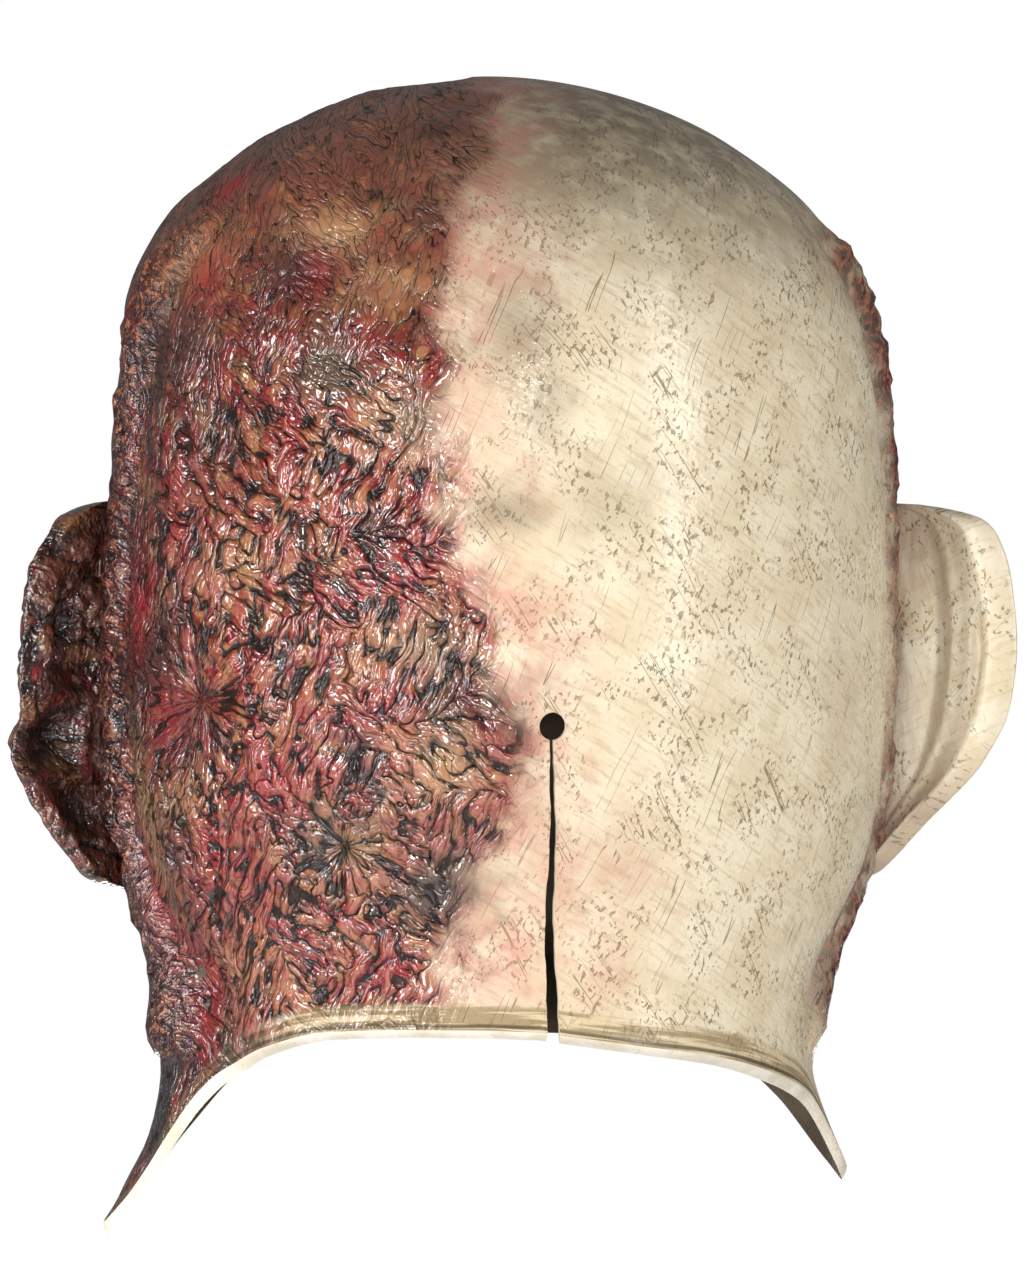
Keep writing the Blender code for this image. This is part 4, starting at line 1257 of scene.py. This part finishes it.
def left_ear_material():
    p = Painter("painted_latex_left_ear")
    laid = laid_place(p, "skin_x", "skin_y")
    height, lines = burned_pattern(p, laid, "folds")
    large = p.grain(0.012, None, 3.0, 0.6)
    medium = p.grain(0.0065, None, 3.0, 0.6)
    tone = p.mix(p.step(large, 0.42, 0.60), (0.040, 0.015, 0.011), (0.145, 0.042, 0.028))
    tone = p.mix(p.step(medium, 0.52, 0.64), tone, (0.20, 0.085, 0.034))
    tone = p.mix(p.step(medium, 0.42, 0.34), tone, (0.17, 0.018, 0.018))
    root_tone = p.mix(p.step(large, 0.40, 0.60), (0.22, 0.042, 0.030), (0.090, 0.060, 0.052))
    tone = p.mix(p.mask("root"), tone, root_tone)
    # Painted shade: the hollows of the melted ear are painted near-black.
    tone = p.mix(p.calc("MULTIPLY", p.mask("hollow"), 0.7), tone, (0.022, 0.011, 0.009))
    # The crease lines and creases of the folds are painted near-black: partly a dark wash, partly painted shade in
    # the creases.
    tone = p.mix(p.calc("MULTIPLY", lines, 0.55), tone, (0.008, 0.004, 0.003))
    tone = p.mix(p.step(p.mask("crease"), 0.30, 0.62, 0.0, 0.9), tone, (0.008, 0.004, 0.003))
    relief = p.calc("MULTIPLY_ADD", medium, 0.0036, p.calc("MULTIPLY", height, 0.0004))
    rough = p.step(medium, 0.35, 0.65, 0.06, 0.16)
    return p.finish(tone, rough, p.bump(relief, 1.0), {"Coat Weight": 0.9, "Coat Roughness": 0.05,
                                                       "Specular IOR Level": 0.5})


def nose_material():
    p = Painter("painted_latex_nose")
    tone = p.mix(p.step(p.grain(0.008, None, 4.0, 0.6), 0.35, 0.65), (0.30, 0.008, 0.010), (0.42, 0.018, 0.018))
    tone = p.mix(p.step(p.grain(0.0022, None, 3.0, 0.7), 0.60, 0.72, 0.0, 0.6), tone, (0.11, 0.006, 0.007))
    height = p.grain(0.0012, None, 3.0, 0.6)
    rough = p.step(p.grain(0.004, None, 3.0), 0.3, 0.7, 0.22, 0.40)
    return p.finish(tone, rough, p.bump(height, 0.00015), {"Coat Weight": 0.3, "Coat Roughness": 0.1,
                                                           "Specular IOR Level": 0.5})


def floor_material():
    p = Painter("pale_floor")
    tone = p.mix(p.grain(0.30, None, 3.0), (0.80, 0.80, 0.80), (0.84, 0.84, 0.84))
    height = p.grain(0.004, None, 3.0)
    return p.finish(tone, 0.7, p.bump(height, 0.0002), {"Specular IOR Level": 0.3})


def add_light(name, place, aim, size, watts, color=(1.0, 1.0, 1.0)):
    lamp = bpy.data.lights.new(name, "AREA")
    lamp.shape = "RECTANGLE"
    lamp.size, lamp.size_y = size
    lamp.energy = watts
    lamp.color = color
    light = bpy.data.objects.new(name, lamp)
    light.location = place
    light.rotation_euler = (Vector(aim) - Vector(place)).to_track_quat("-Z", "Y").to_euler()
    bpy.context.scene.collection.objects.link(light)
    return light


def studio():
    """The camera of the photograph, soft lights, a white surround and a pale floor."""
    scene = bpy.context.scene
    lens = bpy.data.cameras.new("photo_camera")
    lens.sensor_width = SENSOR
    lens.lens = SENSOR * PHOTO_DISTANCE / PHOTO_METRES_HIGH
    lens.clip_start, lens.clip_end = 0.05, 50.0
    camera = bpy.data.objects.new("photo_camera", lens)
    back = Vector((math.sin(PHOTO_AZIMUTH), -math.cos(PHOTO_AZIMUTH), 0.0))
    camera.location = AIM + back * PHOTO_DISTANCE
    camera.rotation_euler = (-back).to_track_quat("-Z", "Y").to_euler()
    scene.collection.objects.link(camera)
    scene.camera = camera

    world = bpy.data.worlds.new("white_surround")
    scene.world = world
    world.use_nodes = True
    tree = world.node_tree
    tree.nodes.clear()
    seen = tree.nodes.new("ShaderNodeBackground")
    seen.inputs["Color"].default_value = (1.0, 1.0, 1.0, 1.0)
    seen.inputs["Strength"].default_value = 1.0
    lit = tree.nodes.new("ShaderNodeBackground")
    lit.inputs["Color"].default_value = (1.0, 1.0, 1.0, 1.0)
    lit.inputs["Strength"].default_value = 0.15
    path = tree.nodes.new("ShaderNodeLightPath")
    either = tree.nodes.new("ShaderNodeMixShader")
    output = tree.nodes.new("ShaderNodeOutputWorld")
    tree.links.new(path.outputs["Is Camera Ray"], either.inputs[0])
    tree.links.new(lit.outputs[0], either.inputs[1])
    tree.links.new(seen.outputs[0], either.inputs[2])
    tree.links.new(either.outputs[0], output.inputs["Surface"])

    middle = (0.0, 0.0, -0.14)
    add_light("left_softbox", (1.25, 0.80, -0.10), middle, (0.16, 1.3), 13)
    add_light("left_glint_strip", (0.85, 1.30, -0.15), middle, (0.07, 1.3), 10)
    add_light("side_glint_strip", (1.50, 0.10, -0.12), middle, (0.10, 1.3), 8)
    add_light("right_softbox", (-1.05, 0.95, -0.05), middle, (0.30, 1.3), 13)
    add_light("low_left_softbox", (0.65, 1.05, -1.00), middle, (0.5, 0.3), 6)
    add_light("camera_softbox", (0.10, 1.75, 0.42), middle, (0.40, 0.14), 6)
    add_light("face_softbox", (-0.3, -1.3, -0.80), middle, (0.8, 0.8), 10)

    bpy.ops.mesh.primitive_circle_add(
        vertices=96, radius=3.0, fill_type="NGON", location=(0.0, 0.0, -FLOOR_DROP))
    floor = bpy.context.object
    floor.name = "pale_floor"
    floor.data.materials.append(floor_material())
    scene.view_settings.view_transform = "Standard"
    scene.view_settings.look = "None"


def head_piece(materials):
    """The head with its openings cut, from paint outside, bare cut edges and plain inside."""
    mesh, paint = head_skin()
    for material in materials:
        mesh.materials.append(material)
    starts = np.array([face.loop_start for face in mesh.polygons])
    corners = np.empty(len(mesh.loops), dtype=int)
    mesh.loops.foreach_get("vertex_index", corners)
    layer = paint["inside"][corners]
    cut = np.maximum.reduceat(layer, starts) > 0.1
    inner = np.minimum.reduceat(layer, starts) > 0.9
    source = coordinates(mesh)
    scarred = np.maximum.reduceat((paint["burn"] + paint["swell"])[corners], starts) > 0.0005
    worn_only = ~(cut | inner | scarred)
    mesh.polygons.foreach_set("material_index", cut.astype(int) + inner.astype(int) + 3 * worn_only)
    piece = new_piece("mask_skin", mesh)
    cut_away(piece, openings())
    give_paint(piece.data, paint, source)
    shade_smooth(piece.data, 62)
    piece.data.name = "mask_skin"
    return piece


def main():
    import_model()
    skins = (skin_material("painted_latex", True), bare_latex(), inner_latex(), skin_material("worn_latex", False))
    pieces = [head_piece(skins)]
    for name, side, make in (("left_ear", 1, left_ear_material), ("right_ear", -1, right_ear_material)):
        ear = new_piece(name, ear_skin(name, side))
        ear.data.materials.append(make())
        pieces.append(ear)
    nose = new_piece("red_nose", ball_nose())
    nose.data.materials.append(nose_material())
    pieces.append(nose)
    for piece in pieces:
        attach(piece, "root")
        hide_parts("latex_mask")
    studio()


main()
